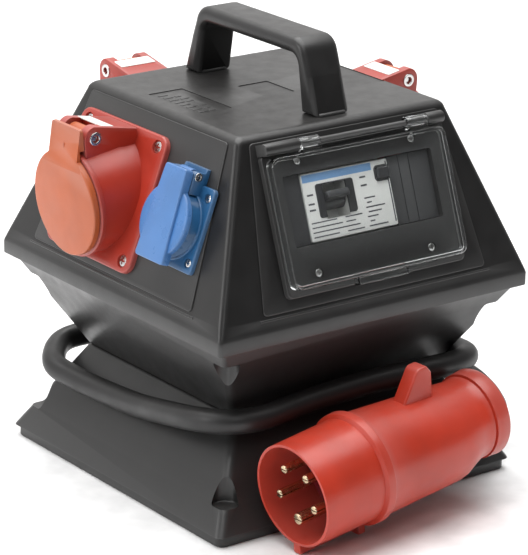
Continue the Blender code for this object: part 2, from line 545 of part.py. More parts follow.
for name, low, high in (
    ("blanking_strip_left", -APERTURE_HALF_X, RCD_LEFT),
    ("blanking_strip_right", RCD_RIGHT, APERTURE_HALF_X),
):
    strip = box((low + GAP * 2, APERTURE_LOW + GAP, -0.0010), (high - GAP * 2, APERTURE_HIGH - GAP, 0.0015))
    node(name, strip, DARK, front)

rail_mid, rail_front, rail_t = (RCD_LOW + RCD_HIGH) / 2, RCD_BACK - GAP, 0.0012
rail_profile = [
    (0.0175, 0), (0.0175, -rail_t), (0.0135, -rail_t), (0.0135, -0.0075),
    (-0.0135, -0.0075), (-0.0135, -rail_t), (-0.0175, -rail_t), (-0.0175, 0),
    (-0.0123, 0), (-0.0123, -0.0063), (0.0123, -0.0063), (0.0123, 0),
]
rail_turn = front @ Matrix.Translation((0, rail_mid, rail_front)) @ Matrix.Rotation(math.pi / 2, 4, "Z")
rail_turn = rail_turn @ Matrix.Rotation(math.pi / 2, 4, "X")
node("din_rail", extruded(rail_profile, -0.0600, 0.0600), STEEL, rail_turn)

tray_floor = TRAY_BOTTOM + WALL + GAP
node("terminal_block", box((-0.045, -0.014, tray_floor), (0.045, 0.014, tray_floor + 0.026)), GREY)

# Cable entry: the gland points along the side, so that the lead winds round the waist.
back_out = Matrix.Rotation(math.pi / 2, 4, "X")
at_gland = Matrix.Translation(GLAND_AT) @ back_out
gland = [(0, GAP), (0.0135, GAP), (0.0135, 0.006), (0.0105, 0.006), (0.0105, 0.010), (0, 0.010)]
node("cable_gland", turned(gland, 6), BLACK, at_gland)
nut = [(0, 0.010 + GAP), (0.0130, 0.010 + GAP), (0.0130, 0.018), (0.0100, GLAND_REACH), (0, GLAND_REACH)]
node("gland_nut", turned(nut, 12), BLACK, at_gland)

# Plug.
PLUG_AXIS.normalize()
level = Vector((0, 0, 1)).cross(PLUG_AXIS).normalized()
upright = PLUG_AXIS.cross(level)
plug = Matrix.Translation(PLUG_MOUTH) @ Matrix((level, upright, PLUG_AXIS)).transposed().to_4x4()
collar_low = SHROUD_LENGTH - COLLAR_LENGTH / 2
shroud_profile = [
    (SHROUD_R - 0.0008, 0), (SHROUD_R, 0.0008),
    (SHROUD_R + 0.0006, collar_low), (COLLAR_R, collar_low + 0.001),
    (COLLAR_R, SHROUD_LENGTH + COLLAR_LENGTH / 2), (SHROUD_BORE - 0.0010, SHROUD_LENGTH + COLLAR_LENGTH / 2),
    (SHROUD_BORE, 0.0008), (SHROUD_BORE + 0.0006, 0),
]
shroud = node("plug_shroud", turned(shroud_profile, 30), RED, plug)
key = box((-0.0035, -SHROUD_R - 0.0066, 0.0005), (0.0035, -SHROUD_R + 0.0010, SHROUD_LENGTH - 0.004))
combine(shroud, key, "UNION", plug)
lug_low = (-0.0060, -COLLAR_R - 0.0068, SHROUD_LENGTH - 0.004)
lug_high = (0.0060, -COLLAR_R + 0.0015, SHROUD_LENGTH + 0.002)
combine(shroud, box(lug_low, lug_high), "UNION", plug)

cup_floor = PLUG_LENGTH - PLUG_CUP_DEPTH
outside = [(radius, along) for radius, along, drop in PLUG_BODY]
inside = [(PLUG_CUP_R + 0.003, PLUG_LENGTH), (PLUG_CUP_R, cup_floor), (0, cup_floor), (0, PLUG_BODY_LOW)]
body_shape = turned(outside + inside, 28)
drops = {round(along, 5): drop for radius, along, drop in PLUG_BODY}
for vertex in body_shape.verts:
    vertex.co.y -= drops.get(round(vertex.co.z, 5), 0)
plug_body = node("plug_body", body_shape, RED, plug)
fin = [(0.0940, 0.0300), (0.1210, 0.0280), (0.1210, 0.0480), (0.1170, 0.0535), (0.1090, 0.0535)]
combine(plug_body, extruded(fin, -0.0060, 0.0060, SIDE_ON), "UNION", plug)

carrier_face = 0.040
carrier_r = SHROUD_BORE - 0.0022
carrier_end = PLUG_BODY_LOW - 2 * GAP
disc = turned([(0, carrier_face), (carrier_r, carrier_face), (carrier_r, carrier_end), (0, carrier_end)], 28)
carrier = node("plug_contact_carrier", disc, RED, plug)
for pole in range(5):
    turn = math.radians(-90 + 72 * pole)
    pin_r = 0.0040 if pole == 0 else 0.0030
    pin = [(0, 0.005), (pin_r - 0.001, 0.005), (pin_r, 0.008)]
    pin += [(pin_r, carrier_face + 0.002), (0, carrier_face + 0.002)]
    spot = Matrix.Translation((0.0180 * math.cos(turn), 0.0180 * math.sin(turn), 0))
    combine(carrier, turned(pin, 10), "UNION", plug @ spot)

nut_low, nut_high = cup_floor + GAP, cup_floor + TAIL_NUT_T
nut = [(0, nut_low), (TAIL_NUT_R, nut_low), (TAIL_NUT_R, nut_high - 0.001)]
nut += [(TAIL_NUT_R - 0.001, nut_high), (0, nut_high)]
node("plug_gland_nut", turned(nut, 16), RUBBER, plug)

# Lead: a smooth curve through the route, from the gland to the plug's tail, straight at both ends.
gland_end = GLAND_AT + Vector((0, -GLAND_REACH - GAP, 0))
tail_end = PLUG_MOUTH + PLUG_AXIS * (nut_high + GAP)
route = [gland_end + Vector((0, -LEAD_STRAIGHT, 0))] + [Vector(point) for point in ROUTE]
route.append(tail_end + PLUG_AXIS * LEAD_STRAIGHT)
smooth = []
for index in range(len(route) - 1):
    before = route[index - 1] if index else gland_end
    start, end = route[index], route[index + 1]
    after = route[index + 2] if index + 2 < len(route) else tail_end
    first, second = start + (end - before) / 6, end - (after - start) / 6
    smooth += interpolate_bezier(start, first, second, end, 25)[:-1]
smooth.append(route[-1])
along = [0.0]
for one, other in zip(smooth, smooth[1:]):
    along.append(along[-1] + (other - one).length)
points, cursor = [gland_end], 0
for step in range(LEAD_POINTS):
    target = along[-1] * step / (LEAD_POINTS - 1)
    while cursor < len(along) - 2 and along[cursor + 1] < target:
        cursor += 1
    share = (target - along[cursor]) / (along[cursor + 1] - along[cursor])
    points.append(smooth[cursor].lerp(smooth[cursor + 1], min(share, 1)))
points.append(tail_end)
curve = bpy.data.curves.new("lead", "CURVE")
curve.dimensions = "3D"
curve.bevel_depth = LEAD_R
curve.bevel_resolution = 2
curve.use_fill_caps = True
spline = curve.splines.new("POLY")
spline.points.add(len(points) - 1)
for point, spot in zip(spline.points, points):
    point.co = (*spot, 1)
curve.materials.append(RUBBER)
bpy.context.scene.collection.objects.link(bpy.data.objects.new("lead", curve))
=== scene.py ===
"""Studio view of a portable power distribution box: a black hood on a flared foot, three red
industrial sockets, two blue household sockets, a clear breaker window and a lead round the waist."""

import math

import bmesh
import bpy
from mathutils import Matrix, Vector


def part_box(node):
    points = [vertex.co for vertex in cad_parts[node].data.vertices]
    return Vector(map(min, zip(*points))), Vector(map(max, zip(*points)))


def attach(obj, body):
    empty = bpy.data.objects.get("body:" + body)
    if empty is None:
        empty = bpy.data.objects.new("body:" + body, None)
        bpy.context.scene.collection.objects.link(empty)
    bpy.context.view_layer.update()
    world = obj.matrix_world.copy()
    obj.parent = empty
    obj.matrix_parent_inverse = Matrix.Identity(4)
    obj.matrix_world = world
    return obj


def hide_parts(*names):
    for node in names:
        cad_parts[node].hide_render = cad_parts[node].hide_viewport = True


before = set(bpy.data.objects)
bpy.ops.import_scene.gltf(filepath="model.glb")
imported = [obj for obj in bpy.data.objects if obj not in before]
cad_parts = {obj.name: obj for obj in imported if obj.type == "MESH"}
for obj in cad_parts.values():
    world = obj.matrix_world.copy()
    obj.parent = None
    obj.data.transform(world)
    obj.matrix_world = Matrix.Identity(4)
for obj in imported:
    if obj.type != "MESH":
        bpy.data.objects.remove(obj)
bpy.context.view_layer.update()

# Camera. It stands to the left of the front corner, above the top of the box and two metres away,
# and looks down at it with a long lens.
CAMERA_AT = Vector((-1.19714, -1.58793, 0.81234))
YAW, PITCH, ROLL = math.radians(-37.06), math.radians(-18.96), math.radians(1.02)
ahead = Vector((-math.sin(YAW) * math.cos(PITCH), math.cos(YAW) * math.cos(PITCH), math.sin(PITCH)))
level_right = ahead.cross(Vector((0, 0, 1))).normalized()
level_up = level_right.cross(ahead)
right = math.cos(ROLL) * level_right + math.sin(ROLL) * level_up
up = math.cos(ROLL) * level_up - math.sin(ROLL) * level_right
lens = bpy.data.cameras.new("camera")
lens.sensor_fit = "VERTICAL"
lens.sensor_height = 36
lens.lens = 196.54
lens.clip_start, lens.clip_end = 0.1, 20
camera = bpy.data.objects.new("camera", lens)
camera.matrix_world = Matrix.Translation(CAMERA_AT) @ Matrix((right, up, -ahead)).transposed().to_4x4()
bpy.context.scene.collection.objects.link(camera)
bpy.context.scene.camera = camera

# Lead. A five-core cable with a thick black rubber jacket, about a metre long. It leaves the gland
# on the right side, lies once round the waist between the foot and the tray, and ends in the plug.
LEAD_R, LEAD_LENGTH, LEAD_STRAIGHT = 0.0084, 1.0464, 0.0080
LEAD_BLACK = (0.011, 0.0105, 0.0108)
GLAND_AT, GLAND_REACH, GAP = Vector((0.110, 0.050, 0.084)), 0.0255, 0.0003
PLUG_MOUTH = Vector((-0.0916, -0.1586, 0.0424))
PLUG_AXIS = Vector((0.9918, 0.0590, 0.1132)).normalized()
TAIL_NUT_OUT = 0.1617
ROUTE = [
    (0.1090, -0.0120, 0.0830), (0.1060, -0.0400, 0.0810), (0.1060, -0.0660, 0.0800),
    (0.1070, -0.0860, 0.0805), (0.1010, -0.1030, 0.0825), (0.0850, -0.1125, 0.0840),
    (0.0600, -0.1130, 0.0845), (0.0300, -0.1095, 0.0838), (0.0000, -0.1070, 0.0825),
    (-0.0450, -0.1070, 0.0800), (-0.0780, -0.1090, 0.0780), (-0.1000, -0.1010, 0.0770),
    (-0.1110, -0.0800, 0.0745), (-0.1120, -0.0500, 0.0690), (-0.1090, -0.0100, 0.0610),
    (-0.1085, 0.0350, 0.0570), (-0.1110, 0.0700, 0.0575), (-0.1110, 0.0930, 0.0605),
    (-0.0930, 0.1140, 0.0650), (-0.0700, 0.1160, 0.0675), (-0.0200, 0.1120, 0.0650),
    (0.0350, 0.1110, 0.0600), (0.0750, 0.1150, 0.0570), (0.1020, 0.1090, 0.0580),
    (0.1140, 0.0860, 0.0560), (0.1120, 0.0450, 0.0560), (0.1085, 0.0050, 0.0585),
    (0.1070, -0.0350, 0.0620), (0.1085, -0.0650, 0.0625), (0.1110, -0.0920, 0.0625),
    (0.1130, -0.1090, 0.0565), (0.1080, -0.1260, 0.0520), (0.0950, -0.1405, 0.0545),
]
gland_end = GLAND_AT + Vector((0, -GLAND_REACH - GAP, 0))
tail_end = PLUG_MOUTH + PLUG_AXIS * (TAIL_NUT_OUT + GAP)
route = [gland_end, gland_end + Vector((0, -LEAD_STRAIGHT, 0))] + [Vector(point) for point in ROUTE]
route += [tail_end + PLUG_AXIS * LEAD_STRAIGHT, tail_end]

lead_line = bpy.data.curves.new("lead_line", "CURVE")
lead_line.dimensions = "3D"
lead_line.resolution_u = 14
lead_line.bevel_depth = LEAD_R
lead_line.bevel_resolution = 8
lead_line.use_fill_caps = True
spline = lead_line.splines.new("BEZIER")
spline.bezier_points.add(len(route) - 1)
for index, (knot, here) in enumerate(zip(spline.bezier_points, route)):
    before, after = route[max(index - 1, 0)], route[min(index + 1, len(route) - 1)]
    knot.handle_left_type = knot.handle_right_type = "FREE"
    knot.co = here
    knot.handle_left, knot.handle_right = here - (after - before) / 6, here + (after - before) / 6
lead_cable = bpy.data.objects.new("lead_cable", lead_line)
bpy.context.scene.collection.objects.link(lead_cable)


def wired(material, kind, **sockets):
    """A new node of that kind in the material, its sockets set to a value or joined to another node."""
    made = material.node_tree.nodes.new(kind)
    for name, value in sockets.items():
        if name in ("operation", "blend_type", "data_type", "distance", "feature", "noise_dimensions"):
            setattr(made, name, value)
            continue
        socket = made.inputs[int(name[1:])] if name[1:].isdigit() else made.inputs[name.replace("_", " ")]
        if isinstance(value, bpy.types.NodeSocket):
            material.node_tree.links.new(value, socket)
        else:
            socket.default_value = value
    return made


def mottled(material, size, detail=3.0):
    """Cloudy noise between 0 and 1 over the piece, with patches of about that size in metres."""
    place = material.node_tree.nodes.get("place") or wired(material, "ShaderNodeTexCoord")
    place.name = "place"
    noise = wired(
        material, "ShaderNodeTexNoise", Vector=place.outputs["Object"], Scale=1 / size, Detail=detail,
    )
    return noise.outputs["Fac"]


def ranged(material, value, low, high, start=0.3, end=0.7):
    sockets = {"i0": value, "i1": start, "i2": end, "i3": low, "i4": high}
    return wired(material, "ShaderNodeMapRange", **sockets).outputs[0]


def blended(material, share, one, other):
    """Two colours, mixed by a share from 0 to 1."""
    mix = wired(material, "ShaderNodeMix", data_type="RGBA", i0=share)
    for socket, colour in ((mix.inputs[6], one), (mix.inputs[7], other)):
        if isinstance(colour, bpy.types.NodeSocket):
            material.node_tree.links.new(colour, socket)
        else:
            socket.default_value = (*colour, 1)
    return mix.outputs[2]


def moulded(name, colour, rough, grain=0.0006, relief=0.00005, wave=0.00012, worn=0.25, dust=0.0, metal=0.0):
    """A moulded or rubbed surface: cloudy colour and gloss, a fine grain, slow waves that break up the
    reflections, paler rubbed edges, and dust on what faces up."""
    made = bpy.data.materials.new(name)
    made.use_nodes = True
    shader = made.node_tree.nodes["Principled BSDF"]
    patches = mottled(made, 0.035)
    shade = blended(
        made, ranged(made, patches, 0.0, 1.0), [c * 0.86 for c in colour], [c * 1.1 for c in colour],
    )
    geometry = wired(made, "ShaderNodeNewGeometry")
    rubbed = ranged(made, geometry.outputs["Pointiness"], 0.0, worn, 0.505, 0.60)
    pale = [c + (0.55 - c) * 0.35 for c in colour]
    shade = blended(made, rubbed, shade, pale)
    if dust:
        facing = wired(made, "ShaderNodeSeparateXYZ", Vector=geometry.outputs["Normal"]).outputs["Z"]
        lying = ranged(made, facing, 0.0, dust, 0.55, 1.0)
        speckle = ranged(made, mottled(made, 0.004, 5.0), 0.25, 1.0)
        settled = wired(made, "ShaderNodeMath", operation="MULTIPLY", i0=lying, i1=speckle).outputs[0]
        shade = blended(made, settled, shade, (0.33, 0.32, 0.30))
    made.node_tree.links.new(shade, shader.inputs["Base Color"])
    gloss = ranged(made, mottled(made, 0.012), rough - 0.045, rough + 0.055)
    made.node_tree.links.new(gloss, shader.inputs["Roughness"])
    shader.inputs["Metallic"].default_value = metal
    slow = wired(made, "ShaderNodeBump", Height=mottled(made, 0.022, 1.0), Distance=wave, Strength=1.0)
    fine = wired(
        made, "ShaderNodeBump", Height=mottled(made, grain, 2.0), Distance=relief, Strength=1.0,
        Normal=slow.outputs[0],
    )
    made.node_tree.links.new(fine.outputs[0], shader.inputs["Normal"])
    return made


lead_rubber = moulded("lead_rubber", LEAD_BLACK, 0.44, grain=0.0009, relief=0.00006, worn=0.0, dust=0.04)
lead_line.materials.append(lead_rubber)
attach(lead_cable, "housing")
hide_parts("lead")

# Gland. A moulded nylon body screwed into the side of the tray, with a clamping nut and a ribbed
# rubber sleeve that keeps the lead from kinking where it comes out.
GLAND_BODY, GLAND_NUT_R, SLEEVE_LENGTH = (0.0135, 0.0105), 0.0130, 0.026
BLACK = (0.0110, 0.0106, 0.0106)


def band(shape, low, high):
    """Faces between two rings of points, either of which may be a single point."""
    for step in range(max(len(low), len(high))):
        after = step + 1
        corners = [
            low[step % len(low)], low[after % len(low)], high[after % len(high)], high[step % len(high)],
        ]
        shape.faces.new(list(dict.fromkeys(corners)))


def eased(corners, steps=4):
    """A closed outline of (a, b) or (a, b, radius). A corner that has a radius is rounded with it."""
    outline = []
    for index, corner in enumerate(corners):
        here = Vector(corner[:2])
        if len(corner) == 2 or corner[2] <= 0:
            outline.append(tuple(here))
            continue
        back = (Vector(corners[index - 1][:2]) - here).normalized()
        on = (Vector(corners[(index + 1) % len(corners)][:2]) - here).normalized()
        half = back.angle(on) / 2
        cut = corner[2] / math.tan(half)
        centre = here + (back + on).normalized() * corner[2] / math.sin(half)
        first, last = here + back * cut - centre, here + on * cut - centre
        sweep = math.atan2(first.x * last.y - first.y * last.x, first.dot(last))
        for step in range(steps + 1):
            turn = sweep * step / steps
            x = first.x * math.cos(turn) - first.y * math.sin(turn)
            outline.append((centre.x + x, centre.y + first.x * math.sin(turn) + first.y * math.cos(turn)))
    return outline


def turned(profile, steps, place=Matrix()):
    """A closed profile of (radius, height) points, turned about Z."""
    shape = bmesh.new()
    rings = []
    for radius, height in profile:
        turns = [2 * math.pi * step / steps for step in range(steps if radius > 1e-9 else 1)]
        rings.append([shape.verts.new((radius * math.cos(t), radius * math.sin(t), height)) for t in turns])
    for low, high in zip(rings, rings[1:] + rings[:1]):
        if len(low) + len(high) > 2:
            band(shape, low, high)
    bmesh.ops.transform(shape, matrix=place, verts=shape.verts)
    bmesh.ops.recalc_face_normals(shape, faces=shape.faces)
    return shape


def mesh_of(name, shapes):
    """One mesh that holds a shape, or several shapes that don't touch."""
    mesh, whole = bpy.data.meshes.new(name), bmesh.new()
    for shape in shapes if isinstance(shapes, list) else [shapes]:
        part = bpy.data.meshes.new("part")
        shape.to_mesh(part)
        shape.free()
        whole.from_mesh(part)
        bpy.data.meshes.remove(part)
    whole.to_mesh(mesh)
    whole.free()
    return mesh


def piece(name, shapes, finish, body, stands_for=(), sharp=38):
    """Makes the shapes one named piece in that finish, on that moving body, in place of its CAD nodes."""
    mesh = mesh_of(name, shapes)
    mesh.materials.append(finish)
    made = bpy.data.objects.new(name, mesh)
    bpy.context.scene.collection.objects.link(made)
    mesh.shade_smooth()
    mesh.set_sharp_from_angle(angle=math.radians(sharp))
    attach(made, body)
    if stands_for:
        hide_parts(*stands_for)
    return made


hood_black = moulded("hood_black", BLACK, 0.34, dust=0.05)
at_gland = Matrix.Translation(GLAND_AT) @ Matrix.Rotation(math.pi / 2, 4, "X")
wide, narrow = GLAND_BODY
gland_profile = eased(
    [(0, GAP), (wide, GAP, 0.0006), (wide, 0.006, 0.0010), (narrow, 0.006), (narrow, 0.010), (0, 0.010)]
)
gland_hex = turned(gland_profile, 6, at_gland)
nut_profile = eased(
    [
        (0, 0.0103), (GLAND_NUT_R, 0.0103, 0.0006), (GLAND_NUT_R, 0.018, 0.001), (0.0100, 0.0252, 0.001),
        (0, 0.0255),
    ]
)
gland_dome = turned(nut_profile, 12, at_gland)
sleeve = [(LEAD_R + 0.0004, GLAND_REACH + GAP), (0.0120, GLAND_REACH + GAP)]
for rib in range(6):
    low = GLAND_REACH + 0.0008 + SLEEVE_LENGTH * rib / 6
    radius = 0.0120 - 0.0024 * rib / 6
    sleeve += [(radius, low), (radius - 0.0001, low + 0.0024), (radius - 0.0011, low + 0.0028)]
    sleeve += [(radius - 0.0011, low + 0.0038)]
sleeve += [(0.0095, GLAND_REACH + SLEEVE_LENGTH), (LEAD_R - 0.0004, GLAND_REACH + SLEEVE_LENGTH)]
piece("gland_body", gland_hex, hood_black, "housing", ["cable_gland"])
piece("gland_clamp", gland_dome, hood_black, "housing", ["gland_nut"])
lead_sleeve = piece("lead_sleeve", turned(sleeve, 40, at_gland), lead_rubber, "housing")

# Plug. A five-pin 32 A plug in orange-red nylon: a thin round shroud with a key rib, a flared collar,
# a tapering grip with a thumb fin, a screwed tail cap, and brass pins in a crimson carrier.
SHROUD_R, SHROUD_BORE, SHROUD_LENGTH = 0.0355, 0.0332, 0.0530
COLLAR_R, PLUG_LENGTH, CUP_R, CUP_FLOOR = 0.0394, 0.1680, 0.0245, 0.1580
CARRIER_FACE, PIN_CIRCLE = 0.0400, 0.0180
PLUG_RED, CARRIER_RED, BRASS = (0.47, 0.036, 0.016), (0.20, 0.010, 0.018), (0.72, 0.56, 0.36)
# Radius, distance along the plug and how far the section sits below the plug's axis.
PLUG_BODY = [
    (0.0368, 0.0563, 0.0), (0.0366, 0.0620, 0.0006), (0.0359, 0.0780, 0.0014), (0.0350, 0.0950, 0.0022),
    (0.0344, 0.1120, 0.0031), (0.0336, 0.1280, 0.0038), (0.0328, 0.1335, 0.0035), (0.0316, 0.1380, 0.0026),
    (0.0301, 0.1440, 0.0016), (0.0290, 0.1490, 0.0009), (0.0289, 0.1525, 0.0005), (0.0291, 0.1552, 0.0003),
    (0.0284, 0.1556, 0.0002), (0.0284, 0.1562, 0.0001), (0.0302, 0.1566, 0.0), (0.0304, 0.1600, 0.0),
    (0.0309, 0.1666, 0.0), (0.0303, 0.1677, 0.0), (0.0296, PLUG_LENGTH, 0.0),
]
level = Vector((0, 0, 1)).cross(PLUG_AXIS).normalized()
plug = Matrix((level, PLUG_AXIS.cross(level), PLUG_AXIS)).transposed().to_4x4()
plug = Matrix.Translation(PLUG_MOUTH) @ plug
# Turns an outline in X and Y, extruded along Z, into one in Z and Y, extruded along X.
SIDE_ON = Matrix(((0, 0, 1, 0), (0, 1, 0, 0), (1, 0, 0, 0), (0, 0, 0, 1)))


def inset(outline, depth):
    """The outline drawn in by that depth. It runs anticlockwise."""
    drawn = []
    for index, corner in enumerate(outline):
        here = Vector(corner)
        back = (here - Vector(outline[index - 1])).normalized()
        on = (Vector(outline[(index + 1) % len(outline)]) - here).normalized()
        normal = Vector((-back.y - on.y, back.x + on.x))
        normal = normal.normalized() / max(normal.length / 2, 0.35)
        drawn.append(tuple(here + normal * depth))
    return drawn


def slab(outline, low, high, place=Matrix(), edge=0.0, under=0.0, steps=3):
    """A closed outline made solid from low to high, its upper rim rounded by edge and its lower one by
    under."""
    around = zip(outline, outline[1:] + outline[:1])
    if sum(one[0] * other[1] - other[0] * one[1] for one, other in around) < 0:
        outline = outline[::-1]
    shape = bmesh.new()
    layers = []
    for step in range(steps if under else 0):
        turn = math.pi / 2 * step / steps
        layers.append((under * (1 - math.sin(turn)), low + under * (1 - math.cos(turn))))
    layers += [(0, low + under), (0, high - edge)]
    for step in range(1, steps + 1 if edge else 0):
        turn = math.pi / 2 * step / steps
        layers.append((edge * (1 - math.cos(turn)), high - edge * (1 - math.sin(turn))))
    rings = [[shape.verts.new((x, y, height)) for x, y in inset(outline, depth)] for depth, height in layers]
    for below, above in zip(rings, rings[1:]):
        band(shape, below, above)
    shape.faces.new(rings[0])
    shape.faces.new(rings[-1])
    bmesh.ops.transform(shape, matrix=place, verts=shape.verts)
    bmesh.ops.recalc_face_normals(shape, faces=shape.faces)
    return shape


def worked(piece_made, shapes, operation="DIFFERENCE"):
    """Cuts the shapes out of a piece, or joins them on, and keeps the result as the piece's own mesh."""
    mesh = mesh_of("tool", shapes)
    tool = bpy.data.objects.new("tool", mesh)
    bpy.context.scene.collection.objects.link(tool)
    step = piece_made.modifiers.new("work", "BOOLEAN")
    step.operation, step.object, step.solver = operation, tool, "EXACT"
    graph = bpy.context.evaluated_depsgraph_get()
    result = bpy.data.meshes.new_from_object(piece_made.evaluated_get(graph), depsgraph=graph)
    piece_made.modifiers.clear()
    old, piece_made.data = piece_made.data, result
    bpy.data.objects.remove(tool)
    bpy.data.meshes.remove(mesh)
    bpy.data.meshes.remove(old)
    result.name = piece_made.name
    result.shade_smooth()
    result.set_sharp_from_angle(angle=math.radians(38))


def block(low, high, place=Matrix(), edge=0.0, round_by=0.0):
    """A box with rounded upright corners and a rounded upper rim."""
    (x0, y0, z0), (x1, y1, z1) = low, high
    corners = [(x0, y0, round_by), (x1, y0, round_by), (x1, y1, round_by), (x0, y1, round_by)]
    return slab(eased(corners), z0, z1, place, edge)


plug_red = moulded("plug_red", PLUG_RED, 0.33, relief=0.00003, worn=0.45, dust=0.05)
collar_top = SHROUD_LENGTH + 0.003
shroud_profile = eased([
    (SHROUD_R - 0.0002, 0, 0.0004), (SHROUD_R + 0.0006, 0.0485), (COLLAR_R - 0.0004, 0.0500, 0.0008),
    (COLLAR_R, collar_top, 0.0008), (SHROUD_BORE - 0.0010, collar_top), (SHROUD_BORE, 0.0008, 0.0004),
    (SHROUD_BORE + 0.0002, 0, 0.0002),
])
shroud = piece(
    "plug_shroud_cup", turned(shroud_profile, 96, plug), plug_red, "housing", ["plug_shroud"],
)
key = [(-0.0035, -0.0421, 0.0007), (0.0035, -0.0421, 0.0007), (0.0030, -0.0345), (-0.0030, -0.0345)]
worked(shroud, slab(eased(key), 0.0005, 0.0490, plug, under=0.0005), "UNION")
lug = [(-0.0060, -0.0462, 0.0012), (0.0060, -0.0462, 0.0012), (0.0058, -0.0379), (-0.0058, -0.0379)]
worked(shroud, slab(eased(lug), 0.0490, 0.0550, plug, edge=0.0008, under=0.0008), "UNION")

grip_shape = bmesh.new()
grip_rings = []
for radius, along, drop in PLUG_BODY + [(CUP_R + 0.003, PLUG_LENGTH, 0), (CUP_R, CUP_FLOOR, 0)]:
    turns = [2 * math.pi * step / 96 for step in range(96)]
    ring = [grip_shape.verts.new((radius * math.cos(t), radius * math.sin(t) - drop, along)) for t in turns]
    grip_rings.append(ring)
front_tip, cup_tip = (grip_shape.verts.new((0, 0, along)) for along in (0.0563, CUP_FLOOR))
grip_rings = [[front_tip], *grip_rings, [cup_tip]]
for low, high in zip(grip_rings, grip_rings[1:]):
    band(grip_shape, low, high)
bmesh.ops.transform(grip_shape, matrix=plug, verts=grip_shape.verts)
bmesh.ops.recalc_face_normals(grip_shape, faces=grip_shape.faces)
grip = piece("plug_grip", grip_shape, plug_red, "housing", ["plug_body"])
fin = [
    (0.0940, 0.0300), (0.1210, 0.0280), (0.1210, 0.0480, 0.003), (0.1170, 0.0535, 0.003),
    (0.1090, 0.0535, 0.005),
]
worked(grip, slab(eased(fin), -0.0060, 0.0060, plug @ SIDE_ON, edge=0.0014, under=0.0014), "UNION")

carrier_red = moulded("carrier_red", CARRIER_RED, 0.42, worn=0.2)
carrier_r, carrier_end = SHROUD_BORE - 0.0022, 0.0557
carrier_profile = eased([
    (0, CARRIER_FACE), (0.0100, CARRIER_FACE), (0.0104, CARRIER_FACE + 0.0008),
    (0.0112, CARRIER_FACE + 0.0008),
    (0.0116, CARRIER_FACE), (carrier_r, CARRIER_FACE, 0.0012), (carrier_r, carrier_end), (0, carrier_end),
])
carrier = piece(
    "plug_pin_carrier", turned(carrier_profile, 72, plug), carrier_red, "housing",
    ["plug_contact_carrier"],
)
pin_shapes = []
for pole in range(5):
    turn = math.radians(-90 + 72 * pole)
    radius = 0.0040 if pole == 0 else 0.0030
    spot = plug @ Matrix.Translation((PIN_CIRCLE * math.cos(turn), PIN_CIRCLE * math.sin(turn), 0))
    collar = [(0, CARRIER_FACE - 0.0015), (radius + 0.0016, CARRIER_FACE - 0.0015, 0.0006)]
    collar += [(radius + 0.0016, CARRIER_FACE + 0.002), (0, CARRIER_FACE + 0.002)]
    worked(carrier, turned(eased(collar), 32, spot), "UNION")
    pin = [(0, 0.0025), (radius, 0.0025, 0.0012), (radius, CARRIER_FACE + 0.0015), (0, CARRIER_FACE + 0.0015)]
    pin_shapes.append(turned(eased(pin), 32, spot))
brass = moulded("pin_brass", BRASS, 0.24, grain=0.0003, relief=0.00002, worn=0.3, metal=1.0)
plug_pins = piece("plug_pins", pin_shapes, brass, "housing")
for pole in range(5):
    turn = math.radians(-90 + 72 * pole)
    spot = plug @ Matrix.Translation((PIN_CIRCLE * math.cos(turn), PIN_CIRCLE * math.sin(turn), 0))
    worked(plug_pins, block((-0.0055, -0.0004, -0.001), (0.0055, 0.0004, 0.0170), spot))

tail_profile = eased([
    (LEAD_R - 0.0003, CUP_FLOOR + GAP), (0.0150, CUP_FLOOR + GAP), (0.0150, TAIL_NUT_OUT, 0.0010),
    (LEAD_R + 0.0010, TAIL_NUT_OUT, 0.0006), (LEAD_R - 0.0003, TAIL_NUT_OUT - 0.0008),
])
tail_ring = piece(
    "plug_tail_ring", turned(tail_profile, 48, plug), lead_rubber, "housing",
    ["plug_gland_nut"]
)

# Foot. A thick base plate and a hollow pyramid skirt over it, both moulded in black polyamide, with a
# round pocket in each slanting corner where the lead can be lashed.
BASE_HALF, BASE_TOP = 0.1234, 0.0072
FOOT_HALF, FOOT_BOTTOM = 0.1262, 0.0075
WAIST_HALF, WAIST_Z = 0.0873, 0.0730
WALL, CORNER_STEPS = 0.004, 8
POCKET_R, POCKET_INNER = 0.009, 0.0295


def rounded_square(half_x, half_y, radius, steps=CORNER_STEPS):
    corners = [(-half_x, -half_y, radius), (half_x, -half_y, radius), (half_x, half_y, radius)]
    return eased(corners + [(-half_x, half_y, radius)], steps)


def cup(outer, inner):
    """A hollow square shell. Both lists hold (height, half width, corner radius), from the open end."""
    shape = bmesh.new()
    rims = []
    for sections in (outer, inner):
        rings = []
        for height, half, radius in sections:
            rings.append([shape.verts.new((x, y, height)) for x, y in rounded_square(half, half, radius)])
        for low, high in zip(rings, rings[1:]):
            band(shape, low, high)
        shape.faces.new(rings[-1])
        rims.append(rings[0])
    band(shape, *rims)
    bmesh.ops.recalc_face_normals(shape, faces=shape.faces)
    return shape


def foot_half(height):
    return FOOT_HALF + (WAIST_HALF - FOOT_HALF) * (height - FOOT_BOTTOM) / (WAIST_Z - FOOT_BOTTOM)


def corner_pockets(low, high):
    centre = foot_half(WAIST_Z - POCKET_INNER) + POCKET_R / math.sqrt(2)
    rod = eased([(0, low), (POCKET_R, low, 0.0015), (POCKET_R, high, 0.0015), (0, high)])
    spots = [(x, y) for x in (-centre, centre) for y in (-centre, centre)]
    return [turned(rod, 48, Matrix.Translation((*spot, 0))) for spot in spots]


